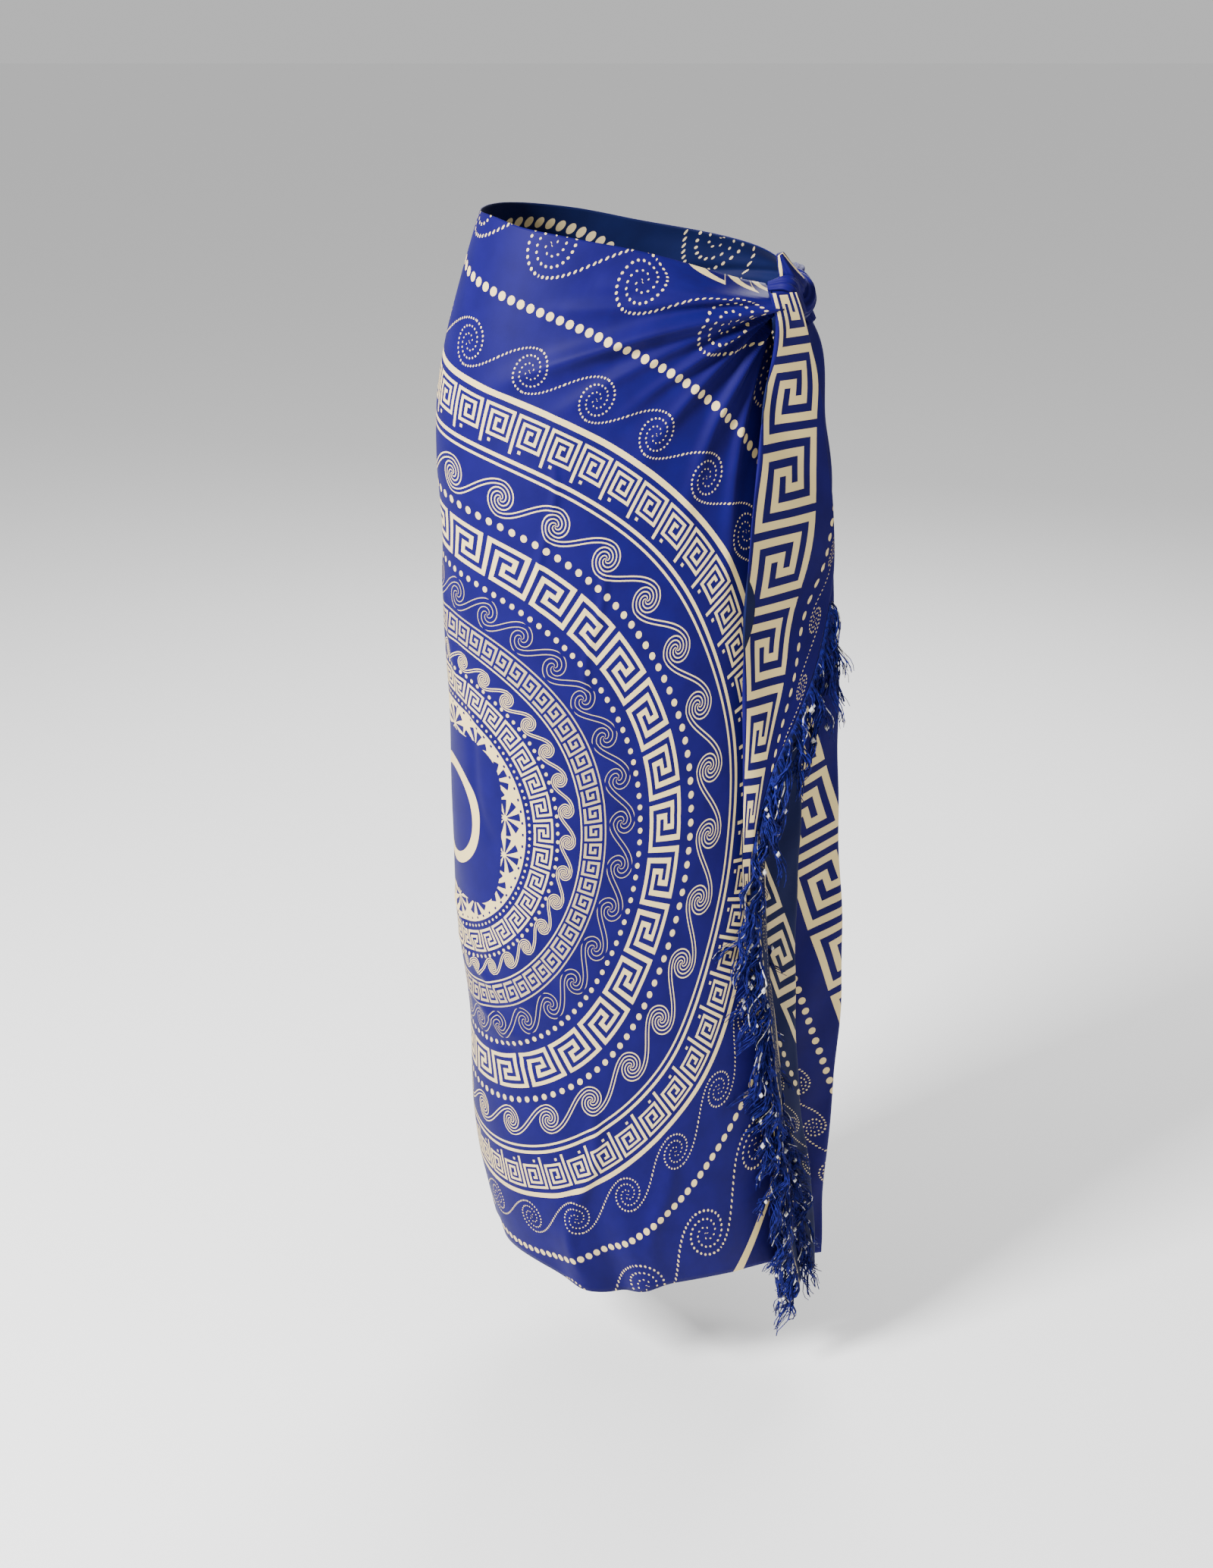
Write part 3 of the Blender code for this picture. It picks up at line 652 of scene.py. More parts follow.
def panel_grid(edges, column, side, columns, row_shares):
    """Points and flat places of a panel, columns from left to right as seen from outside."""
    share = np.linspace(0, 1, columns + 1)[None, :]
    share = share * (1 + COLUMN_CROWDING * (1 - share))
    top, hem = (table_value(edges, name, share, key="share") for name in ("top", "hem"))
    height = top + (hem - top) * row_shares[:, None]
    length = table_value(REACHES, column, height)
    reach = side * share * length
    growth = np.clip((share - ROLL_START) / (1 - ROLL_START), 0, 1)**ROLL_GROWTH
    roll = ROLL_SWELL * growth * np.exp(-((top - height - ROLL_WIDTH) / ROLL_WIDTH)**2)
    clear = np.clip(share * 40, 0, 1) * np.clip((1 - share) * 25, 0, 1)
    lift = fold_lift(reach, height) + roll + clear * fine_lift(reach, height)
    points = OUTLINE.at(reach, height, lift)
    u, v = turned_cut(share, reach, height, top) if side > 0 else back_cut(reach, height)
    cut = np.stack([u, v], axis=-1)
    return (points, cut) if side > 0 else (points[:, ::-1], cut[:, ::-1])


def strip_width(height):
    """Share of the front strip's solid width that shows at this height."""
    return float(table_value(STRIP_WIDTHS, "share", height))


def folded_row(start, fold, end, start_steps, end_steps):
    """Points along a sheet that runs straight from start, round a soft fold, and straight on to end."""
    start, fold, end = (np.array(point, float) for point in (start, fold, end))
    arms = [start - fold, end - fold]
    lengths = [np.linalg.norm(arm) for arm in arms]
    bend = min(FOLD_RADIUS, FOLD_SHARE * min(lengths))
    inlet = fold + arms[0] / lengths[0] * bend
    outlet = fold + arms[1] / lengths[1] * bend
    first = [start + (inlet - start) * t for t in np.linspace(0, 1, start_steps + 1)[:-1]]
    turn = [(1 - t)**2 * inlet + 2 * t * (1 - t) * fold + t**2 * outlet
            for t in np.linspace(0, 1, BEND_STEPS + 1)]
    last = [outlet + (end - outlet) * t for t in np.linspace(0, 1, end_steps + 1)[1:]]
    return np.array([*first, *turn, *last])


def front_fall_ends(height):
    """Hidden end, fold and free edge of the front strip at this height."""
    hidden, fold, lift, free_x, free_y = (table_value(FRONT_FALL, column, height)
                                          for column in Fall._fields[1:])
    under = OUTLINE.at(hidden, height, fold_lift(hidden, height) + WALL / 2 + FALL_GAP)[:2]
    turn = OUTLINE.at(fold, height, lift)[:2]
    return under, turn, turn + strip_width(height) * (np.array((free_x, free_y)) - turn)


def rear_fold_ends(height):
    """Start under the panel, hip fold and valley of the rear hanging fold at this height."""
    rear_x, rear_y, valley_x, valley_y = (table_value(BACK_FALL, column, height)
                                          for column in Zigzag._fields[1:5])
    reach = REAR_TUCK - table_value(REACHES, "back", height)
    start = OUTLINE.at(reach, height, fold_lift(reach, height) + WALL / 2 + FALL_GAP)[:2]
    return start, (rear_x, rear_y), (valley_x, valley_y)


def front_fold_ends(height):
    """Valley, front fold and free edge of the front hanging fold at this height."""
    valley_x, valley_y, front_x, front_y, free_x, free_y = (
        table_value(BACK_FALL, column, height) for column in Zigzag._fields[3:])
    start = (valley_x - VALLEY_SIDESTEP, valley_y - WALL - FALL_GAP)
    return start, (front_x, front_y), (free_x, free_y)


def fall_grid(heights, row_ends, steps, waves, cut_of_row):
    """Points and flat places of a hanging fold. Waves ripple its arms, most in their middles."""
    points, cut = [], []
    for height in heights:
        flat = folded_row(*row_ends(height), *steps)
        run = np.concatenate([[0], np.cumsum(np.linalg.norm(np.diff(flat, axis=0), axis=1))])
        along = np.gradient(flat, axis=0)
        normal = np.stack([along[:, 1], -along[:, 0]], axis=1)
        normal /= np.linalg.norm(normal, axis=1)[:, None]
        arm = run / run[-1]
        ripple = sum(size * np.sin(2 * pi * (arm * across + height * down) + start)
                     for size, across, down, start in waves) * np.sin(pi * arm)**0.5
        points.append(np.column_stack([flat + normal * ripple[:, None], np.full(len(run), height)]))
        cut.append(np.stack(cut_of_row(flat, run, height), axis=-1))
    return np.array(points), np.array(cut)


def strip_row_cut(flat, run, height):
    """Places on the flat cloth of one row of the front strip."""
    at_fold = run[STRIP_STEPS[0] + BEND_STEPS // 2]
    return strip_cut(strip_width(height) * (run - at_fold) / (run[-1] - at_fold), height)


def rear_row_cut(flat, run, height):
    """Places on the flat cloth of one row of the rear hanging fold."""
    middle = REAR_STEPS[0] + BEND_STEPS // 2
    return rear_cut(run - run[middle], flat[middle, 0], height)


def fore_row_cut(flat, run, height):
    """Places on the flat cloth of one row of the front hanging fold."""
    middle = FORE_STEPS[0] + BEND_STEPS // 2
    x = np.where(np.arange(len(run)) < middle, 2 * flat[middle, 0] - flat[:, 0], flat[:, 0])
    return fore_cut(x, height)


class Field:
    """A number that Math nodes work out at each point of a surface."""

    def __init__(self, tree, socket):
        self.tree = tree
        self.socket = socket

    def put(self, operation, *values):
        node = self.tree.nodes.new("ShaderNodeMath")
        node.operation = operation
        for slot, value in zip(node.inputs, values):
            if isinstance(value, Field):
                self.tree.links.new(value.socket, slot)
            else:
                slot.default_value = value
        return Field(self.tree, node.outputs[0])

    def __add__(self, other):
        return self.put("ADD", self, other)

    def __sub__(self, other):
        return self.put("SUBTRACT", self, other)

    def __rsub__(self, other):
        return self.put("SUBTRACT", other, self)

    def __mul__(self, other):
        return self.put("MULTIPLY", self, other)

    def __truediv__(self, other):
        return self.put("DIVIDE", self, other)

    def __gt__(self, other):
        return self.put("GREATER_THAN", self, other)

    def __lt__(self, other):
        return self.put("LESS_THAN", self, other)

    def plus_times(self, factor, addend):
        return self.put("MULTIPLY_ADD", self, factor, addend)

    def hypot(self, other):
        return (self * self + other * other).root()

    def root(self):
        return self.put("SQRT", self)

    def near(self, value, half_width):
        return self.put("COMPARE", self, value, half_width)

    def either(self, other):
        return self.put("MAXIMUM", self, other)

    def fract(self):
        return self.put("FRACT", self)

    def floor(self):
        return self.put("FLOOR", self)

    def size(self):
        return self.put("ABSOLUTE", self)

    def cos(self):
        return self.put("COSINE", self)

    def sin(self):
        return self.put("SINE", self)

    def triangle(self):
        """Distance to the nearest whole number."""
        return ((self + 0.5).fract() - 0.5).size()


def zone_value(distance, bands, column):
    """The value that a table of bands gives at this distance."""
    value = getattr(bands[0], column)
    for before, after in zip(bands, bands[1:]):
        change = getattr(after, column) - getattr(before, column)
        if change:
            value = (distance > before.end).plus_times(change, value)
    return value


def charted(chart, column, row):
    """1 where a chart of signs is filled, and 0 elsewhere. Columns repeat, rows don't."""
    width = len(chart[0])
    column = ((column / width).fract() * width).floor()
    row = row.floor()
    code = 0.0
    for number, signs in enumerate(reversed(chart)):
        value = sum(2**place for place, sign in enumerate(signs) if sign == "#")
        code = row.near(number, 0.5).plus_times(value, code)
    two = column.put("POWER", 2.0, column)
    return (((code / two) + 0.0004).floor() / 2.0).fract() > 0.25


def scroll(x, q, spacing, disc, pitch, line, dotted):
    """A running scroll: discs of spiral joined by a wave. x and q run along and across the band."""
    ends = x.put("SIGN", x)
    wave = x.size() * pi / spacing
    steep = disc * pi / spacing
    slope = steep * wave.sin()
    stretch = (slope * slope + 1.0).root()
    off = (q + ends * disc * wave.cos()).size() / stretch
    solid_wave = (off - pitch / 8.0).size() < line
    rho = x.hypot(q)
    turn = x.put("ARCTAN2", q, x) / (2 * pi)
    winding = (turn * 2.0 + 0.5).fract()
    inside = (rho - winding * pitch * 0.5) < (disc - pitch * 0.25)
    phase = (rho - disc - pitch / 8.0) * 4.0 / pitch - turn * 4.0 - 1.0
    solid_disc = (phase.triangle() * pitch * 0.25) < line

    spiral = (rho - disc) * 2.0 / pitch - (turn + 0.25) * 2.0
    spiral_off = ((spiral + 0.5).fract() - 0.5) * pitch * 0.5
    on_arm = rho - spiral_off
    gap = line * 4.0
    dot = line * (rho / disc * 0.55 + 0.50)
    dot = dot.put("MINIMUM", dot, line * 1.05)
    along_disc = (on_arm * on_arm * pi / (pitch * gap)).triangle() * gap
    along_wave = (x.size() * (steep * steep * 0.25 + 1.0) / gap).triangle() * gap
    dotted_disc = spiral_off.hypot(along_disc) < dot
    dotted_wave = off.hypot(along_wave) < line
    disc_part = solid_disc + dotted * (dotted_disc - solid_disc)
    wave_part = solid_wave + dotted * (dotted_wave - solid_wave)
    return wave_part + inside * (disc_part - wave_part)


def print_group():
    """Node group that draws the print: 1 where it is cream and 0 where it is blue."""
    tree = bpy.data.node_groups.new("sarong_print", "ShaderNodeTree")
    tree.interface.new_socket(name="Flat cloth", in_out="INPUT", socket_type="NodeSocketVector")
    tree.interface.new_socket(name="Cream", in_out="OUTPUT", socket_type="NodeSocketFloat")
    source = tree.nodes.new("NodeGroupInput")
    result = tree.nodes.new("NodeGroupOutput")
    axes = tree.nodes.new("ShaderNodeSeparateXYZ")
    tree.links.new(source.outputs[0], axes.inputs[0])
    u, v = Field(tree, axes.outputs[0]), Field(tree, axes.outputs[1])

    r = u.hypot(v)
    turns = v.put("ARCTAN2", v, u) / (-2 * pi)
    side = u.size()
    on_end = side > RINGS_END

    cream = r.near(RINGS[0].radius, RINGS[0].half_width)
    for ring in RINGS[1:]:
        cream = cream.either(r.near(ring.radius, ring.half_width))
    cream = cream.either(r.near(OUTER_RING.radius, OUTER_RING.half_width) * (side < OUTER_RING_SIDE))

    square = (u * u).hypot(v * v) > ROUNDED_SQUARE**2
    petal_x = ((turns * PALMETTES).fract() - 0.5) * (2 * pi * PALMETTE_RADIUS / PALMETTES)
    petal_q = r - PALMETTE_RADIUS
    rho = petal_x.hypot(petal_q)
    fan = (u.put("ARCTAN2", petal_x, petal_q) * PALMETTE_PETALS).cos() > PALMETTE_LEAF
    palmette = fan * rho.near((PALMETTE_INNER + PALMETTE_OUTER) / 2, (PALMETTE_OUTER - PALMETTE_INNER) / 2)
    palmette = palmette * (petal_q > PALMETTE_FOOT)
    edge_dots = ((turns * (4 * PALMETTES)).fract() - 0.5).size() < EDGE_DOT_SHARE
    edge_dots = edge_dots * r.near(EDGE_DOTS.radius, EDGE_DOTS.half_width)
    cream = cream.either(square * (r < CREAM_DISC) * (1.0 - palmette.either(edge_dots)))

    inner, outer = (zone_value(r, KEY_BANDS, name) for name in ("inner", "outer"))
    row = (r - inner) * len(KEY_CHART) / (outer - inner)
    column = turns * zone_value(r, KEY_BANDS, "repeats") * len(KEY_CHART[0])
    end_row = (side - END_KEY[0]) * (len(KEY_CHART) / (END_KEY[1] - END_KEY[0]))
    end_column = v * u.put("SIGN", u) / -END_KEY_CELL
    row = row + on_end * (end_row - row)
    column = column + on_end * (end_column - column)
    cream_key = charted(KEY_CHART, column, row)

    cream_squares = 0.0
    for chart, band in ((SQUARE_CHART, SQUARES), (SMALL_SQUARE_CHART, SMALL_SQUARES)):
        row = (r - band.inner) * (len(chart) / (band.outer - band.inner))
        column = (turns * band.repeats - (SQUARES_PHASE - 0.5)) * len(chart[0])
        cream_squares = charted(chart, column, row) + cream_squares
    cream_squares = cream_squares * (1.0 - on_end)

    radius = zone_value(r, DOT_BANDS, "radius")
    repeats = zone_value(r, DOT_BANDS, "repeats")
    x = ((turns * repeats).fract() - 0.5) * (radius * (2 * pi)) / repeats
    size = zone_value(r, DOT_BANDS, "dot")
    q = r - radius
    x = x + on_end * (((v / END_DOT_SPACING).fract() - 0.5) * END_DOT_SPACING - x)
    q = q + on_end * (side - END_DOTS - q)
    size = size + on_end * (END_DOT - size)
    cream_dots = x.hypot(q) < size

    radius = zone_value(r, SCROLL_BANDS, "radius")
    repeats = zone_value(r, SCROLL_BANDS, "repeats")
    spacing = radius * (2 * pi) / repeats
    x = ((turns * repeats - zone_value(r, SCROLL_BANDS, "phase") + 0.5).fract() - 0.5) * spacing
    q = r - radius
    scale = 1.0 - on_end * (1.0 - END_SCROLL_SCALE)
    x = x + on_end * (((v / END_SCROLL_SPACING).fract() - 0.5) * END_SCROLL_SPACING - x)
    q = q + on_end * (side - END_SCROLL - q)
    spacing = spacing + on_end * (END_SCROLL_SPACING - spacing)
    disc, pitch, line, dotted = (zone_value(r, SCROLL_BANDS, name)
                                 for name in ("disc", "pitch", "line", "dotted"))
    in_band = q.size() < disc * scale * SCROLL_MARGIN
    cream_scroll = scroll(x, q, spacing, disc * scale, pitch * scale, line * scale.root(), dotted)
    cream_scroll = cream_scroll * in_band * (side < END_SCROLL_LIMIT)

    rings = cream * (1.0 - on_end)
    total = rings.either(cream_key).either(cream_squares).either(cream_dots).either(cream_scroll)
    faint = r.near(FAINT_ZONE.radius, FAINT_ZONE.half_width) * FAINT
    total = total * (1.0 - faint)
    tree.links.new(total.socket, result.inputs[0])
    return tree


def uneven_tone(tree, place, grain, colour, ramp):
    """Noise of this scale and detail, and the colour it shades. The ramp pairs a place with a share of it."""
    noise = tree.nodes.new("ShaderNodeTexNoise")
    noise.inputs["Scale"].default_value, noise.inputs["Detail"].default_value = grain
    tree.links.new(place, noise.inputs["Vector"])
    tone = tree.nodes.new("ShaderNodeValToRGB")
    for element, (position, share) in zip(tone.color_ramp.elements, ramp):
        element.position = position
        element.color = (*(min(1.0, share * part) for part in colour), 1.0)
    tree.links.new(noise.outputs["Fac"], tone.inputs["Fac"])
    return noise.outputs["Fac"], tone.outputs["Color"]


def add_bump(tree, height, strength, distance):
    """Raise the shader's surface by this height, a bump only."""
    bump = tree.nodes.new("ShaderNodeBump")
    bump.inputs["Strength"].default_value = strength
    bump.inputs["Distance"].default_value = distance
    tree.links.new(height, bump.inputs["Height"])
    tree.links.new(bump.outputs["Normal"], tree.nodes["Principled BSDF"].inputs["Normal"])


def cloth_material(name, ground, figure, roughness, figure_share):
    """Printed cloth: the print group's cream over a dyed ground, with a fine weave and small unevenness."""
    material = bpy.data.materials.new(name)
    material.use_nodes = True
    tree = material.node_tree
    shader = tree.nodes["Principled BSDF"]
    flat = tree.nodes.new("ShaderNodeAttribute")
    flat.attribute_name = "cloth_cut"
    print_node = tree.nodes.new("ShaderNodeGroup")
    print_node.node_tree = bpy.data.node_groups.get("sarong_print") or print_group()
    tree.links.new(flat.outputs["Vector"], print_node.inputs[0])

    tone = uneven_tone(tree, flat.outputs["Vector"], (34.0, 4.0), ground, ((0.30, 0.86), (0.72, 1.12)))[1]

    cover = tree.nodes.new("ShaderNodeMath")
    cover.operation = "MULTIPLY"
    cover.inputs[1].default_value = figure_share
    tree.links.new(print_node.outputs[0], cover.inputs[0])
    ink = tree.nodes.new("ShaderNodeMix")
    ink.data_type = "RGBA"
    tree.links.new(cover.outputs[0], ink.inputs["Factor"])
    tree.links.new(tone, ink.inputs["A"])
    ink.inputs["B"].default_value = (*figure, 1.0)
    tree.links.new(ink.outputs["Result"], shader.inputs["Base Color"])

    threads = tree.nodes.new("ShaderNodeMath")
    threads.operation = "ADD"
    for number, direction in enumerate("XY"):
        weave = tree.nodes.new("ShaderNodeTexWave")
        weave.wave_type = "BANDS"
        weave.bands_direction = direction
        weave.inputs["Scale"].default_value = 420.0
        weave.inputs["Distortion"].default_value = 1.2
        tree.links.new(flat.outputs["Vector"], weave.inputs["Vector"])
        tree.links.new(weave.outputs["Fac"], threads.inputs[number])
    add_bump(tree, threads.outputs[0], 0.10, 0.0002)

    shader.inputs["Roughness"].default_value = roughness
    shader.inputs["Specular IOR Level"].default_value = 0.07
    shader.inputs["Sheen Weight"].default_value = 0.03
    shader.inputs["Sheen Roughness"].default_value = 0.45
    shader.inputs["Sheen Tint"].default_value = (0.55, 0.60, 1.0, 1.0)
    return material


def yarn_material(name, colour, roughness):
    """Loose yarn: fine twisted strands of slightly uneven colour."""
    material = bpy.data.materials.new(name)
    material.use_nodes = True
    tree = material.node_tree
    shader = tree.nodes["Principled BSDF"]
    where = tree.nodes.new("ShaderNodeTexCoord")
    uneven, tone = uneven_tone(tree, where.outputs["Object"], (260.0, 3.0), colour,
                               ((0.35, 0.35), (0.68, 1.8)))
    tree.links.new(tone, shader.inputs["Base Color"])
    add_bump(tree, uneven, 0.3, 0.0003)
    shader.inputs["Roughness"].default_value = roughness
    shader.inputs["Specular IOR Level"].default_value = 0.12
    return material


def finish(name, maker, *settings):
    """The material of this name, made once."""
    return bpy.data.materials.get(name) or maker(name, *settings)


def cloth_finishes(turned_out=False):
    """Right and wrong side of the cloth, the outward one first."""
    cloth = bpy.context.scene.sarong_cloth
    right = finish("printed_side", cloth_material, tuple(cloth.blue), tuple(cloth.cream), 0.55, 1.0)
    wrong = finish("wrong_side", cloth_material, tuple(cloth.wrong_blue), tuple(cloth.wrong_cream),
                   0.62, 0.90)
    return (wrong, right) if turned_out else (right, wrong)


def new_object(name, mesh, materials):
    piece = bpy.data.objects.new(name, mesh)
    bpy.context.scene.collection.objects.link(piece)
    for material in materials:
        mesh.materials.append(material)
    mesh.shade_smooth()
    return piece


def place_on_cut(mesh, cut):
    """Keep each point's place on the flat cloth, which the print reads."""
    layer = mesh.attributes.new("cloth_cut", "FLOAT_VECTOR", "POINT")
    flat = np.zeros((len(cut), 3), np.float32)
    flat[:, :2] = cut
    layer.data.foreach_set("vector", flat.ravel())


def sheet_piece(name, points, cut, materials, thickness, offset):
    """Thin cloth through a grid of points, its second material on the inward side."""
    rows, columns = points.shape[:2]
    mesh = bpy.data.meshes.new(name)
    faces = [(j * columns + i, (j + 1) * columns + i, (j + 1) * columns + i + 1, j * columns + i + 1)
             for j in range(rows - 1) for i in range(columns - 1)]
    mesh.from_pydata(points.reshape(-1, 3).tolist(), [], faces)
    place_on_cut(mesh, cut.reshape(-1, 2))
    piece = new_object(name, mesh, materials)
    wall = piece.modifiers.new("wall", "SOLIDIFY")
    wall.thickness = thickness
    wall.offset = offset
    wall.material_offset = 1
    return piece


def register_cloth(piece, nodes):
    """Attach a cloth piece to the root body and hide the solids it stands for."""
    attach(piece, "root")
    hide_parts(*nodes)


def strand_route(phase, lead_in, lead_out):
    """The rolled corner's path through the knot and its thickness along it."""
    centre = np.array(KNOT_CENTRE)
    turn = np.linspace(0, 1, TWIST_STEPS + 1)
    angle = phase + 2 * pi * turn
    twist = centre + np.stack([TWIST_RADIUS * np.cos(angle), KNOT_PITCH * (turn - 0.5),
                               TWIST_RADIUS * np.sin(angle)], axis=1)
    route = np.array([*(centre + lead[:3] for lead in lead_in), *twist,
                      *(centre + lead[:3] for lead in lead_out)])
    thickness = np.array([*(lead.thickness for lead in lead_in), *np.ones(len(twist)),
                          *(lead.thickness for lead in lead_out)])
    return route, thickness


def tube_frames(route):
    """Two directions across a path at each of its points, without sudden turns."""
    along = np.gradient(route, axis=0)
    along /= np.linalg.norm(along, axis=1)[:, None]
    side = np.cross(along[0], (0, 0, 1.0))
    sides = []
    for direction in along:
        side = side - direction * (side @ direction)
        side = side / np.linalg.norm(side)
        sides.append(side)
    sides = np.array(sides)
    return sides, np.cross(along, sides)


def rolled_corner(name, phase, lead_in, lead_out, cut_start, cut_run, lobes, twist_turns):
    """A corner of the cloth rolled into a pleated strand, with the print running along it."""
    rough, thickness = strand_route(phase, lead_in, lead_out)
    run = np.concatenate([[0], np.cumsum(np.linalg.norm(np.diff(rough, axis=0), axis=1))])
    fine = np.linspace(0, run[-1], 120)
    route = np.stack([np.interp(fine, run, rough[:, axis]) for axis in range(3)], axis=1)
    kernel = np.ones(7) / 7
    padded = np.pad(route, ((3, 3), (0, 0)), mode="edge")
    route = np.stack([np.convolve(padded[:, axis], kernel, mode="valid") for axis in range(3)], axis=1)
    width = STRAND_RADIUS * np.interp(fine, run, thickness)
    sides, ups = tube_frames(route)
    angle = np.linspace(0, 2 * pi, 73)[:-1]
    share = fine / fine[-1]
    swing = twist_turns * 2 * pi * share[:, None]
    shape = (1 + 0.10 * np.cos(lobes * angle[None, :] + swing)
             + 0.06 * np.cos((2 * lobes + 1) * angle[None, :] - swing))
    shape = shape - 0.05 * np.cos(3 * angle[None, :] + 2 * swing)
    radius = width[:, None] * shape
    points = (route[:, None, :] + radius[..., None] * (np.cos(angle)[None, :, None] * sides[:, None, :]
                                                       + np.sin(angle)[None, :, None] * ups[:, None, :]))
    rows, columns = points.shape[:2]
    faces = [(j * columns + i, j * columns + (i + 1) % columns,
              (j + 1) * columns + (i + 1) % columns, (j + 1) * columns + i)
             for j in range(rows - 1) for i in range(columns)]
    faces.append(tuple(range(columns))[::-1])
    faces.append(tuple((rows - 1) * columns + i for i in range(columns)))
    mesh = bpy.data.meshes.new(name)
    mesh.from_pydata(points.reshape(-1, 3).tolist(), [], faces)
    u = cut_start[0] + cut_run[0] * share[:, None] + 0.045 * np.abs(np.sin(angle[None, :] / 2 + swing / 4))
    v = cut_start[1] + cut_run[1] * share[:, None] + 0.02 * np.cos(angle[None, :])
    place_on_cut(mesh, np.stack([u, v], axis=-1).reshape(-1, 2))
    piece = new_object(name, mesh, cloth_finishes())
    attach(piece, "root")
    return piece


def free_edge(points, heights):
    """The free edge of a hanging fold at each height, and the directions across and out of the cloth."""
    rows = points[::-1, -1, 2]
    edge = np.stack([np.interp(heights, rows, points[::-1, -1, axis]) for axis in range(3)], axis=-1)
    inside = np.stack([np.interp(heights, rows, points[::-1, -4, axis]) for axis in range(3)], axis=-1)
    across = edge - inside
    across[:, 2] = 0
    across /= np.linalg.norm(across, axis=1)[:, None]
    out = np.stack([across[:, 1], -across[:, 0], np.zeros(len(heights))], axis=1)
    return edge, across, out


def backing_strip(points, span):
    """Corners and faces of the narrow strip beside the free edge that holds the yarn."""
    heights = np.linspace(*span, STRIP_ROWS)
    edge, across, out = free_edge(points, heights)
    inner = edge + across * (SEAM_GAP + EDGE_SLACK)
    outer = inner + across * STRIP_WIDTH
    half = out * (WALL * 0.35)
    rings = np.stack([inner + half, outer + half, outer - half, inner - half], axis=1)
    faces = [(4 * k + c, 4 * k + (c + 1) % 4, 4 * k + 4 + (c + 1) % 4, 4 * k + 4 + c)
             for k in range(STRIP_ROWS - 1) for c in range(4)]
    faces += [(3, 2, 1, 0), tuple(4 * (STRIP_ROWS - 1) + c for c in range(4))]
    return rings.reshape(-1, 3), faces


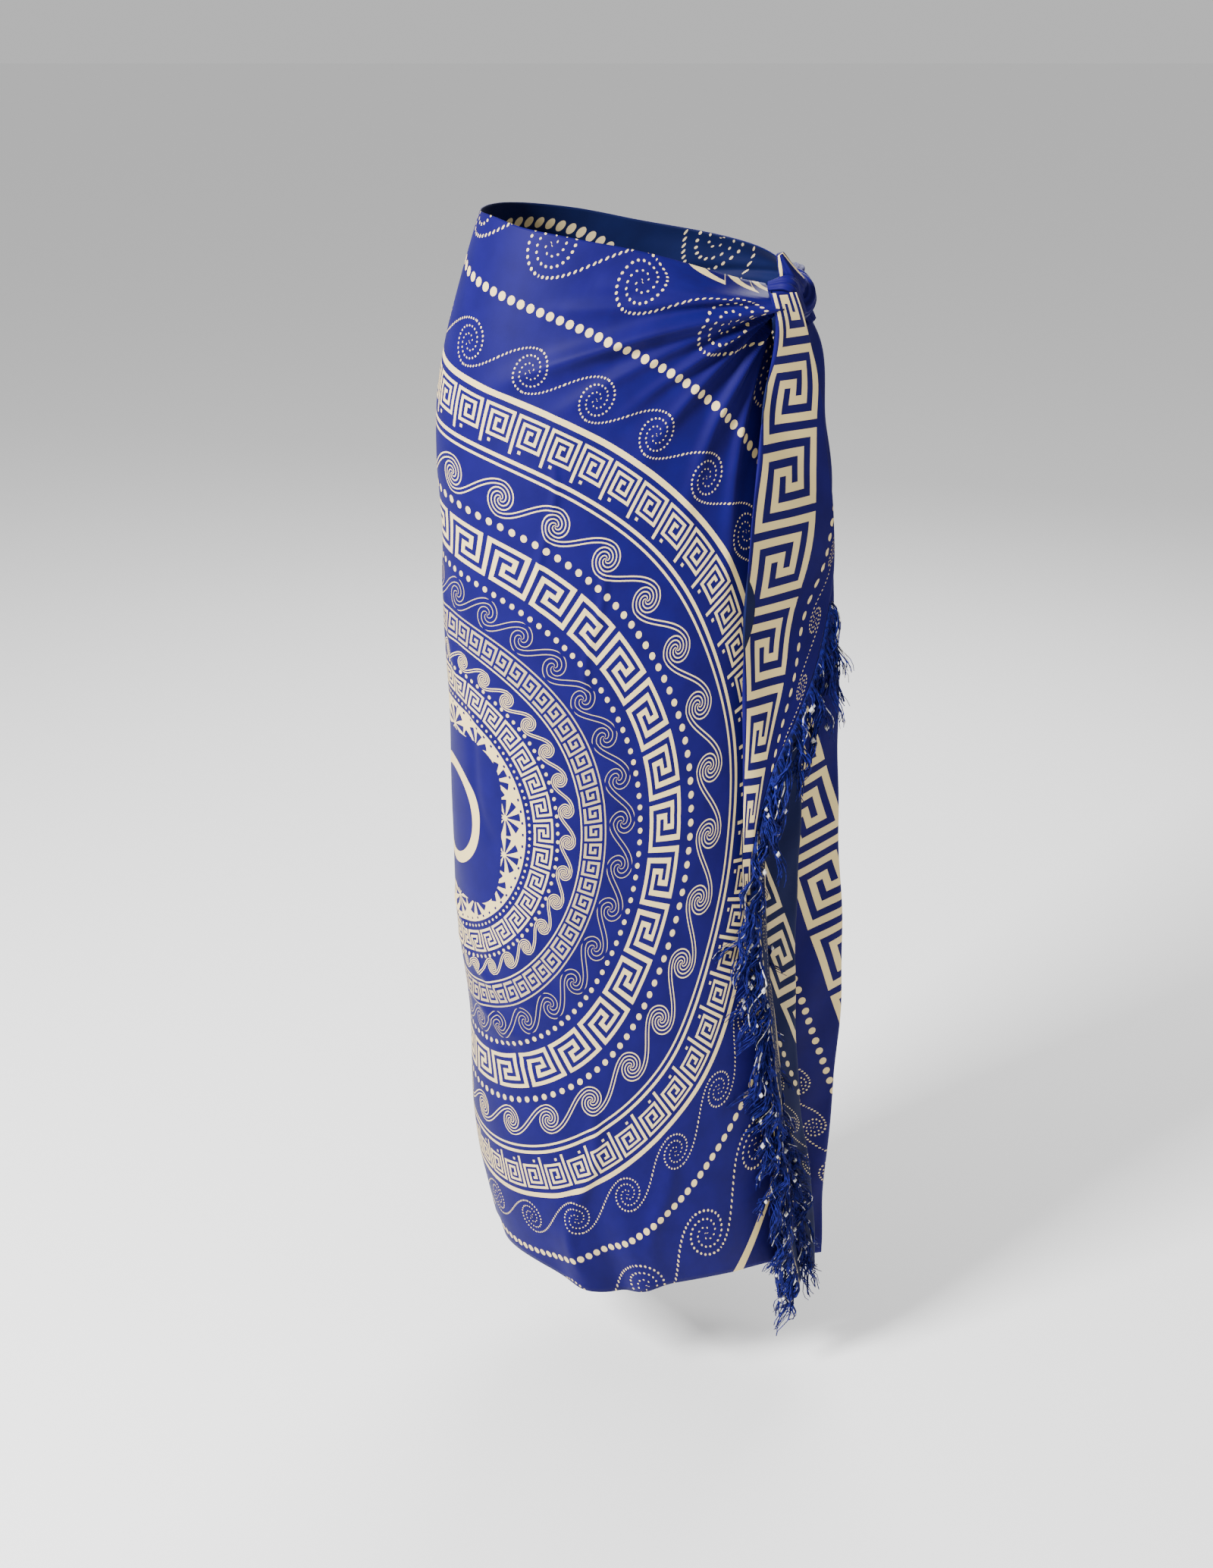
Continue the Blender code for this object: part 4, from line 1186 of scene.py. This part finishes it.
def fringe_piece(name, node, points, span, side, seed):
    """A narrow strip beside the free edge with many fine, wavy, partly knotted strands of yarn."""
    fringe = bpy.context.scene.sarong_fringe
    rng = np.random.default_rng(seed)
    strip, faces = backing_strip(points, span)
    vertices = [strip]
    knot_from = len(faces)
    base = len(strip)

    locks = int(abs(span[1] - span[0]) * fringe.locks_per_metre)
    lock_heights = np.linspace(span[0], span[1], locks) + rng.normal(0, 0.001, locks)
    strands = fringe.strands_per_lock
    height = np.repeat(lock_heights, strands) + rng.normal(0, 0.0016, locks * strands)
    height = np.clip(height, span[1], span[0])
    number = len(height)
    edge, across, out = free_edge(points, height)
    root = edge + across * (SEAM_GAP + EDGE_SLACK + STRIP_WIDTH * 0.6)
    lock = np.repeat(np.arange(locks), strands)
    outward = 1 if side == "front" else -1
    splay = (table_value(YARN_LEANS, side + "_splay", height) + rng.normal(0, 0.16, locks)[lock]
             + rng.normal(0, 0.035, number))
    lean = (table_value(YARN_LEANS, side + "_lean", height)
            + outward * np.abs(rng.normal(0, 0.08, locks))[lock] + rng.normal(0, 0.03, number))
    direction = across * splay[:, None] + out * lean[:, None] - np.array((0, 0, 1.0))
    direction /= np.linalg.norm(direction, axis=1)[:, None]
    length = fringe.length * rng.uniform(0.72, 1.10, locks)[lock] * rng.uniform(0.88, 1.05, number)
    room = (height - (FLOOR_HEIGHT + 0.012)) / np.abs(direction[:, 2])
    length = np.minimum(length, np.maximum(0.015, room))
    steps = YARN_STEPS
    t = np.linspace(0, 1, steps)[None, :, None]

    def curl(phase_a, phase_b, beats, size):
        """A bend of each strand, across and out of the cloth."""
        grown = size[:, None, None] * np.minimum(1, 2.5 * t)
        beat = beats[:, None, None]
        return grown * (across[:, None, :] * np.sin(2 * pi * beat * t + phase_a[:, None, None])
                        + out[:, None, :] * np.sin(1.6 * pi * beat * t + phase_b[:, None, None]))

    phases = rng.uniform(0, 2 * pi, (2, locks))
    shared = curl(phases[0][lock], phases[1][lock], rng.uniform(0.8, 1.9, locks)[lock],
                  rng.uniform(0.0020, 0.0065, locks)[lock])
    phases = rng.uniform(0, 2 * pi, (2, number))
    own = curl(phases[0], phases[1], rng.uniform(1.6, 3.0, number), rng.uniform(0.0006, 0.0022, number))
    centre = (root[:, None, :] + direction[:, None, :] * length[:, None, None] * t
              + across[:, None, :] * 0.010 * np.sqrt(t) * (1 - t) + shared + own)
    width = fringe.yarn * rng.uniform(0.7, 1.3, (number, 1, 1)) * (1 - 0.45 * t)
    sides = np.array([(1, 0), (0, 1), (-1, 0), (0, -1)])
    offset = (sides[None, None, :, 0:1] * across[:, None, None, :]
              + sides[None, None, :, 1:2] * out[:, None, None, :])
    rings = centre[:, :, None, :] + offset * (width / 2)[..., None]
    vertices.append(rings.reshape(-1, 3))
    for k in range(number):
        first = base + 4 * steps * k
        for j in range(steps - 1):
            a = first + 4 * j
            for c in range(4):
                d = (c + 1) % 4
                faces.append((a + c, a + d, a + 4 + d, a + 4 + c))
        faces.append((first + 3, first + 2, first + 1, first))
        last = first + 4 * (steps - 1)
        faces.append((last, last + 1, last + 2, last + 3))
    base += 4 * steps * number
    yarn_faces = len(faces)

    knotted = np.flatnonzero(rng.uniform(0, 1, number) < fringe.knot_share)
    at = rng.integers(3, steps - 1, len(knotted))
    knot_at = centre[knotted, at]
    knot_size = fringe.yarn * rng.uniform(0.9, 1.5, len(knotted))
    tips = np.array([(1, 0, 0), (-1, 0, 0), (0, 1, 0), (0, -1, 0), (0, 0, 1.6), (0, 0, -1.6)])
    vertices.append((knot_at[:, None, :] + tips[None] * knot_size[:, None, None]).reshape(-1, 3))
    octants = [(0, 2, 4), (2, 1, 4), (1, 3, 4), (3, 0, 4), (2, 0, 5), (1, 2, 5), (3, 1, 5), (0, 3, 5)]
    for k in range(len(knotted)):
        faces += [tuple(base + 6 * k + corner for corner in octant) for octant in octants]

    mesh = bpy.data.meshes.new(name)
    mesh.from_pydata(np.concatenate(vertices).tolist(), [], faces)
    piece = new_object(name, mesh, (
        finish("blue_yarn", yarn_material, tuple(fringe.blue), 0.75),
        finish("pale_yarn", yarn_material, tuple(fringe.pale), 0.80)))
    for face in mesh.polygons[yarn_faces:]:
        face.material_index = 1
    pale = np.zeros(len(mesh.polygons), bool)
    per_strand = 4 * (steps - 1) + 2
    for k in np.flatnonzero(rng.uniform(0, 1, number) < fringe.pale_share):
        pale[knot_from + per_strand * k:knot_from + per_strand * (k + 1)] = True
    for index in np.flatnonzero(pale):
        mesh.polygons[index].material_index = 1
    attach(piece, "root")
    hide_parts(node)
    return piece


class SarongCloth(bpy.types.PropertyGroup):
    """Colours and thickness of the cloth."""

    thickness: FloatProperty(name="Thickness", description="Thickness of the cloth", default=0.0007,
                             unit="LENGTH")
    blue: FloatVectorProperty(name="Blue", description="Dyed ground of the right side",
                              default=(0.0056, 0.0024, 0.0760), subtype="COLOR", size=3, min=0, max=1)
    cream: FloatVectorProperty(name="Cream", description="Undyed figures of the right side",
                               default=(0.680, 0.530, 0.240), subtype="COLOR", size=3, min=0, max=1)
    wrong_blue: FloatVectorProperty(name="Wrong-side blue", description="Ground of the wrong side",
                                    default=(0.0045, 0.0068, 0.0420), subtype="COLOR", size=3, min=0, max=1)
    wrong_cream: FloatVectorProperty(name="Wrong-side cream", description="Figures of the wrong side",
                                     default=(0.600, 0.480, 0.250), subtype="COLOR", size=3, min=0, max=1)
    panel_columns: IntProperty(name="Panel columns", description="Grid columns of each panel", default=180,
                               min=20)
    panel_rows: IntProperty(name="Panel rows", description="Grid rows of each panel", default=264, min=20)


class SarongFringe(bpy.types.PropertyGroup):
    """Sizes and colours of the fringe."""

    length: FloatProperty(name="Length", description="Usual length of a strand", default=0.074, unit="LENGTH")
    yarn: FloatProperty(name="Yarn", description="Diameter of one strand", default=0.0019, unit="LENGTH")
    locks_per_metre: IntProperty(name="Locks per metre", description="Bundles of yarn along the edge",
                                 default=135)
    strands_per_lock: IntProperty(name="Strands per lock", description="Strands in one bundle", default=8)
    knot_share: FloatProperty(name="Knotted share", description="Share of strands with a pale knot",
                              default=0.10, subtype="FACTOR")
    pale_share: FloatProperty(name="Pale share", description="Share of strands of pale yarn",
                              default=0.03, subtype="FACTOR")
    blue: FloatVectorProperty(name="Blue", description="Most of the yarn",
                              default=(0.0050, 0.0058, 0.0900), subtype="COLOR", size=3, min=0, max=1)
    pale: FloatVectorProperty(name="Pale", description="Knots and a few strands",
                              default=(0.520, 0.500, 0.470), subtype="COLOR", size=3, min=0, max=1)


class SarongStage(bpy.types.PropertyGroup):
    """Camera and lights."""

    distance: FloatProperty(name="Distance", description="Camera in front of the waist", default=1.70,
                            unit="LENGTH")
    height: FloatProperty(name="Height", description="Camera above the waist", default=0.19, unit="LENGTH")
    tilt: FloatProperty(name="Tilt", description="Camera angle from straight down", default=radians(66.85),
                        subtype="ANGLE")
    focal: FloatProperty(name="Focal length", description="Millimetres on a 36 mm film", default=42.56)
    key: FloatProperty(name="Key light", description="Power of the large front light", default=300.0,
                       unit="POWER")
    fill: FloatProperty(name="Fill light", description="Power of the side light", default=5.0, unit="POWER")
    back: FloatProperty(name="Back light", description="Power of the light behind", default=75.0,
                        unit="POWER")


class SARONG_OT_panels(bpy.types.Operator):
    """Make the front and back halves of the wrap"""

    bl_idname = "sarong.panels"
    bl_label = "Wrapped panels"

    def execute(self, context):
        cloth = context.scene.sarong_cloth
        fine = np.linspace(0, 0.25, int(cloth.panel_rows * 0.45))
        rows = np.concatenate([fine, np.linspace(0.25, 1, cloth.panel_rows - len(fine) + 2)[1:]])
        for node, edges, column, side, flat in (("front_panel", FRONT_EDGES, "front", 1, (0.42, 1.09)),
                                                ("back_panel", BACK_EDGES, "back", -1, (0.50, 1.07))):
            points, cut = panel_grid(edges, column, side, cloth.panel_columns, rows)
            piece = sheet_piece(node + "_cloth", points, cut, cloth_finishes(), cloth.thickness, -1)
            register_cloth(piece, [node])
        return {"FINISHED"}


class SARONG_OT_front_end(bpy.types.Operator):
    """Make the folded strip that hangs in front of the knot, and its fringe"""

    bl_idname = "sarong.front_end"
    bl_label = "Front hanging end"

    def execute(self, context):
        cloth = context.scene.sarong_cloth
        heights = np.linspace(FRONT_FALL[0].height, FRONT_FALL[-1].height, 260)
        points, cut = fall_grid(heights, front_fall_ends, STRIP_STEPS, STRIP_WAVES, strip_row_cut)
        piece = sheet_piece("front_fall_cloth", points, cut, cloth_finishes(), cloth.thickness, 0)
        fringe = fringe_piece("front_fringe_yarn", "fringe_front", points, FRONT_FRINGE_SPAN, "front", 11)
        register_cloth(piece, ["front_fall"])
        return {"FINISHED"}


class SARONG_OT_back_end(bpy.types.Operator):
    """Make the two folds that hang behind the knot, and their fringe"""

    bl_idname = "sarong.back_end"
    bl_label = "Back hanging end"

    def execute(self, context):
        cloth = context.scene.sarong_cloth
        heights = np.linspace(BACK_FALL[0].height, BACK_FALL[-1].height, 240)
        rear, rear_places = fall_grid(heights, rear_fold_ends, REAR_STEPS, REAR_WAVES, rear_row_cut)
        piece = sheet_piece("back_fall_rear_cloth", rear[:, ::-1], rear_places[:, ::-1], cloth_finishes(),
                            cloth.thickness, 0)
        register_cloth(piece, ["back_fall_rear"])
        fore, fore_places = fall_grid(heights, front_fold_ends, FORE_STEPS, FORE_WAVES, fore_row_cut)
        piece = sheet_piece("back_fall_front_cloth", fore[:, ::-1], fore_places[:, ::-1],
                            cloth_finishes(turned_out=True), cloth.thickness, 0)
        fringe = fringe_piece("back_fringe_yarn", "fringe_back", fore, BACK_FRINGE_SPAN, "back", 23)
        register_cloth(piece, ["back_fall_front"])
        return {"FINISHED"}


class SARONG_OT_knot(bpy.types.Operator):
    """Make the two rolled corners that form the knot"""

    bl_idname = "sarong.knot"
    bl_label = "Knot"

    def execute(self, context):
        front = rolled_corner("knot_front_cloth", radians(-90), FRONT_LEAD_IN, FRONT_LEAD_OUT,
                              (0.520, 0.500), (0.06, 0.03), 5, 1.3)
        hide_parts("knot_front_corner")
        back = rolled_corner("knot_back_cloth", radians(90), BACK_LEAD_IN, BACK_LEAD_OUT,
                             (-0.462, 0.480), (-0.16, 0.0), 4, -1.1)
        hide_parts("knot_back_corner")
        return {"FINISHED"}


def add_light(name, place, aim, size, power):
    """A rectangular area light turned towards a point."""
    light = bpy.data.lights.new(name, "AREA")
    light.shape = "RECTANGLE"
    light.size, light.size_y = size
    light.energy = power
    lamp = bpy.data.objects.new(name, light)
    bpy.context.scene.collection.objects.link(lamp)
    lamp.location = place
    x, y, z = (to - at for to, at in zip(aim, place))
    lamp.rotation_euler = (atan2(np.hypot(x, y), -z), 0, atan2(-x, y))
    return lamp


class SARONG_OT_stage(bpy.types.Operator):
    """Make the plain floor, the studio lights and the camera"""

    bl_idname = "sarong.stage"
    bl_label = "Studio"

    def execute(self, context):
        stage = context.scene.sarong_stage
        mesh = bpy.data.meshes.new("studio_floor")
        corners = [(x, y, FLOOR_HEIGHT) for x, y in ((-40, -40), (40, -40), (40, 40), (-40, 40))]
        mesh.from_pydata(corners, [], [(0, 1, 2, 3)])
        paper = bpy.data.materials.new("pale_floor")
        paper.use_nodes = True
        shader = paper.node_tree.nodes["Principled BSDF"]
        shader.inputs["Base Color"].default_value = (0.93, 0.93, 0.93, 1.0)
        shader.inputs["Roughness"].default_value = 0.8
        new_object("studio_floor", mesh, [paper])

        world = bpy.data.worlds.new("studio")
        world.use_nodes = True
        surroundings = world.node_tree.nodes["Background"]
        surroundings.inputs["Color"].default_value = (1.0, 1.0, 1.0, 1.0)
        surroundings.inputs["Strength"].default_value = 0.62
        context.scene.world = world
        middle = (0.02, 0.0, -0.5)
        add_light("key_light", (-1.9, -1.5, 1.3), middle, (0.7, 0.7), stage.key)
        add_light("fill_light", (1.9, -1.1, 0.2), middle, (1.4, 1.8), stage.fill)
        add_light("back_light", (0.6, 2.0, 1.2), middle, (1.6, 1.2), stage.back)

        camera = bpy.data.cameras.new("photo_camera")
        camera.sensor_width = 36.0
        camera.lens = stage.focal
        view = bpy.data.objects.new("photo_camera", camera)
        context.scene.collection.objects.link(view)
        view.location = (0.0, -stage.distance, stage.height)
        view.rotation_euler = (stage.tilt, 0.0, 0.0)
        context.scene.camera = view
        return {"FINISHED"}


class SARONG_PT_panel(bpy.types.Panel):
    """Buttons for each part of the sarong"""

    bl_idname = "SARONG_PT_panel"
    bl_label = "Sarong"
    bl_space_type = "VIEW_3D"
    bl_region_type = "UI"
    bl_category = "Sarong"

    def draw(self, context):
        for operator in OPERATORS:
            self.layout.operator(operator.bl_idname)
        for group in (context.scene.sarong_cloth, context.scene.sarong_fringe, context.scene.sarong_stage):
            for name in group.__annotations__:
                self.layout.prop(group, name)


SETTINGS = {"sarong_cloth": SarongCloth, "sarong_fringe": SarongFringe, "sarong_stage": SarongStage}
OPERATORS = (SARONG_OT_stage, SARONG_OT_panels, SARONG_OT_front_end, SARONG_OT_back_end, SARONG_OT_knot)


def register():
    for item in (*SETTINGS.values(), *OPERATORS, SARONG_PT_panel):
        bpy.utils.register_class(item)
    for name, group in SETTINGS.items():
        setattr(bpy.types.Scene, name, PointerProperty(type=group))


def unregister():
    for name in SETTINGS:
        delattr(bpy.types.Scene, name)
    for item in reversed((*SETTINGS.values(), *OPERATORS, SARONG_PT_panel)):
        bpy.utils.unregister_class(item)


def main():
    register()
    bpy.ops.sarong.stage()
    bpy.ops.sarong.panels()
    bpy.ops.sarong.front_end()
    bpy.ops.sarong.back_end()
    bpy.ops.sarong.knot()


if __name__ == "__main__":
    main()
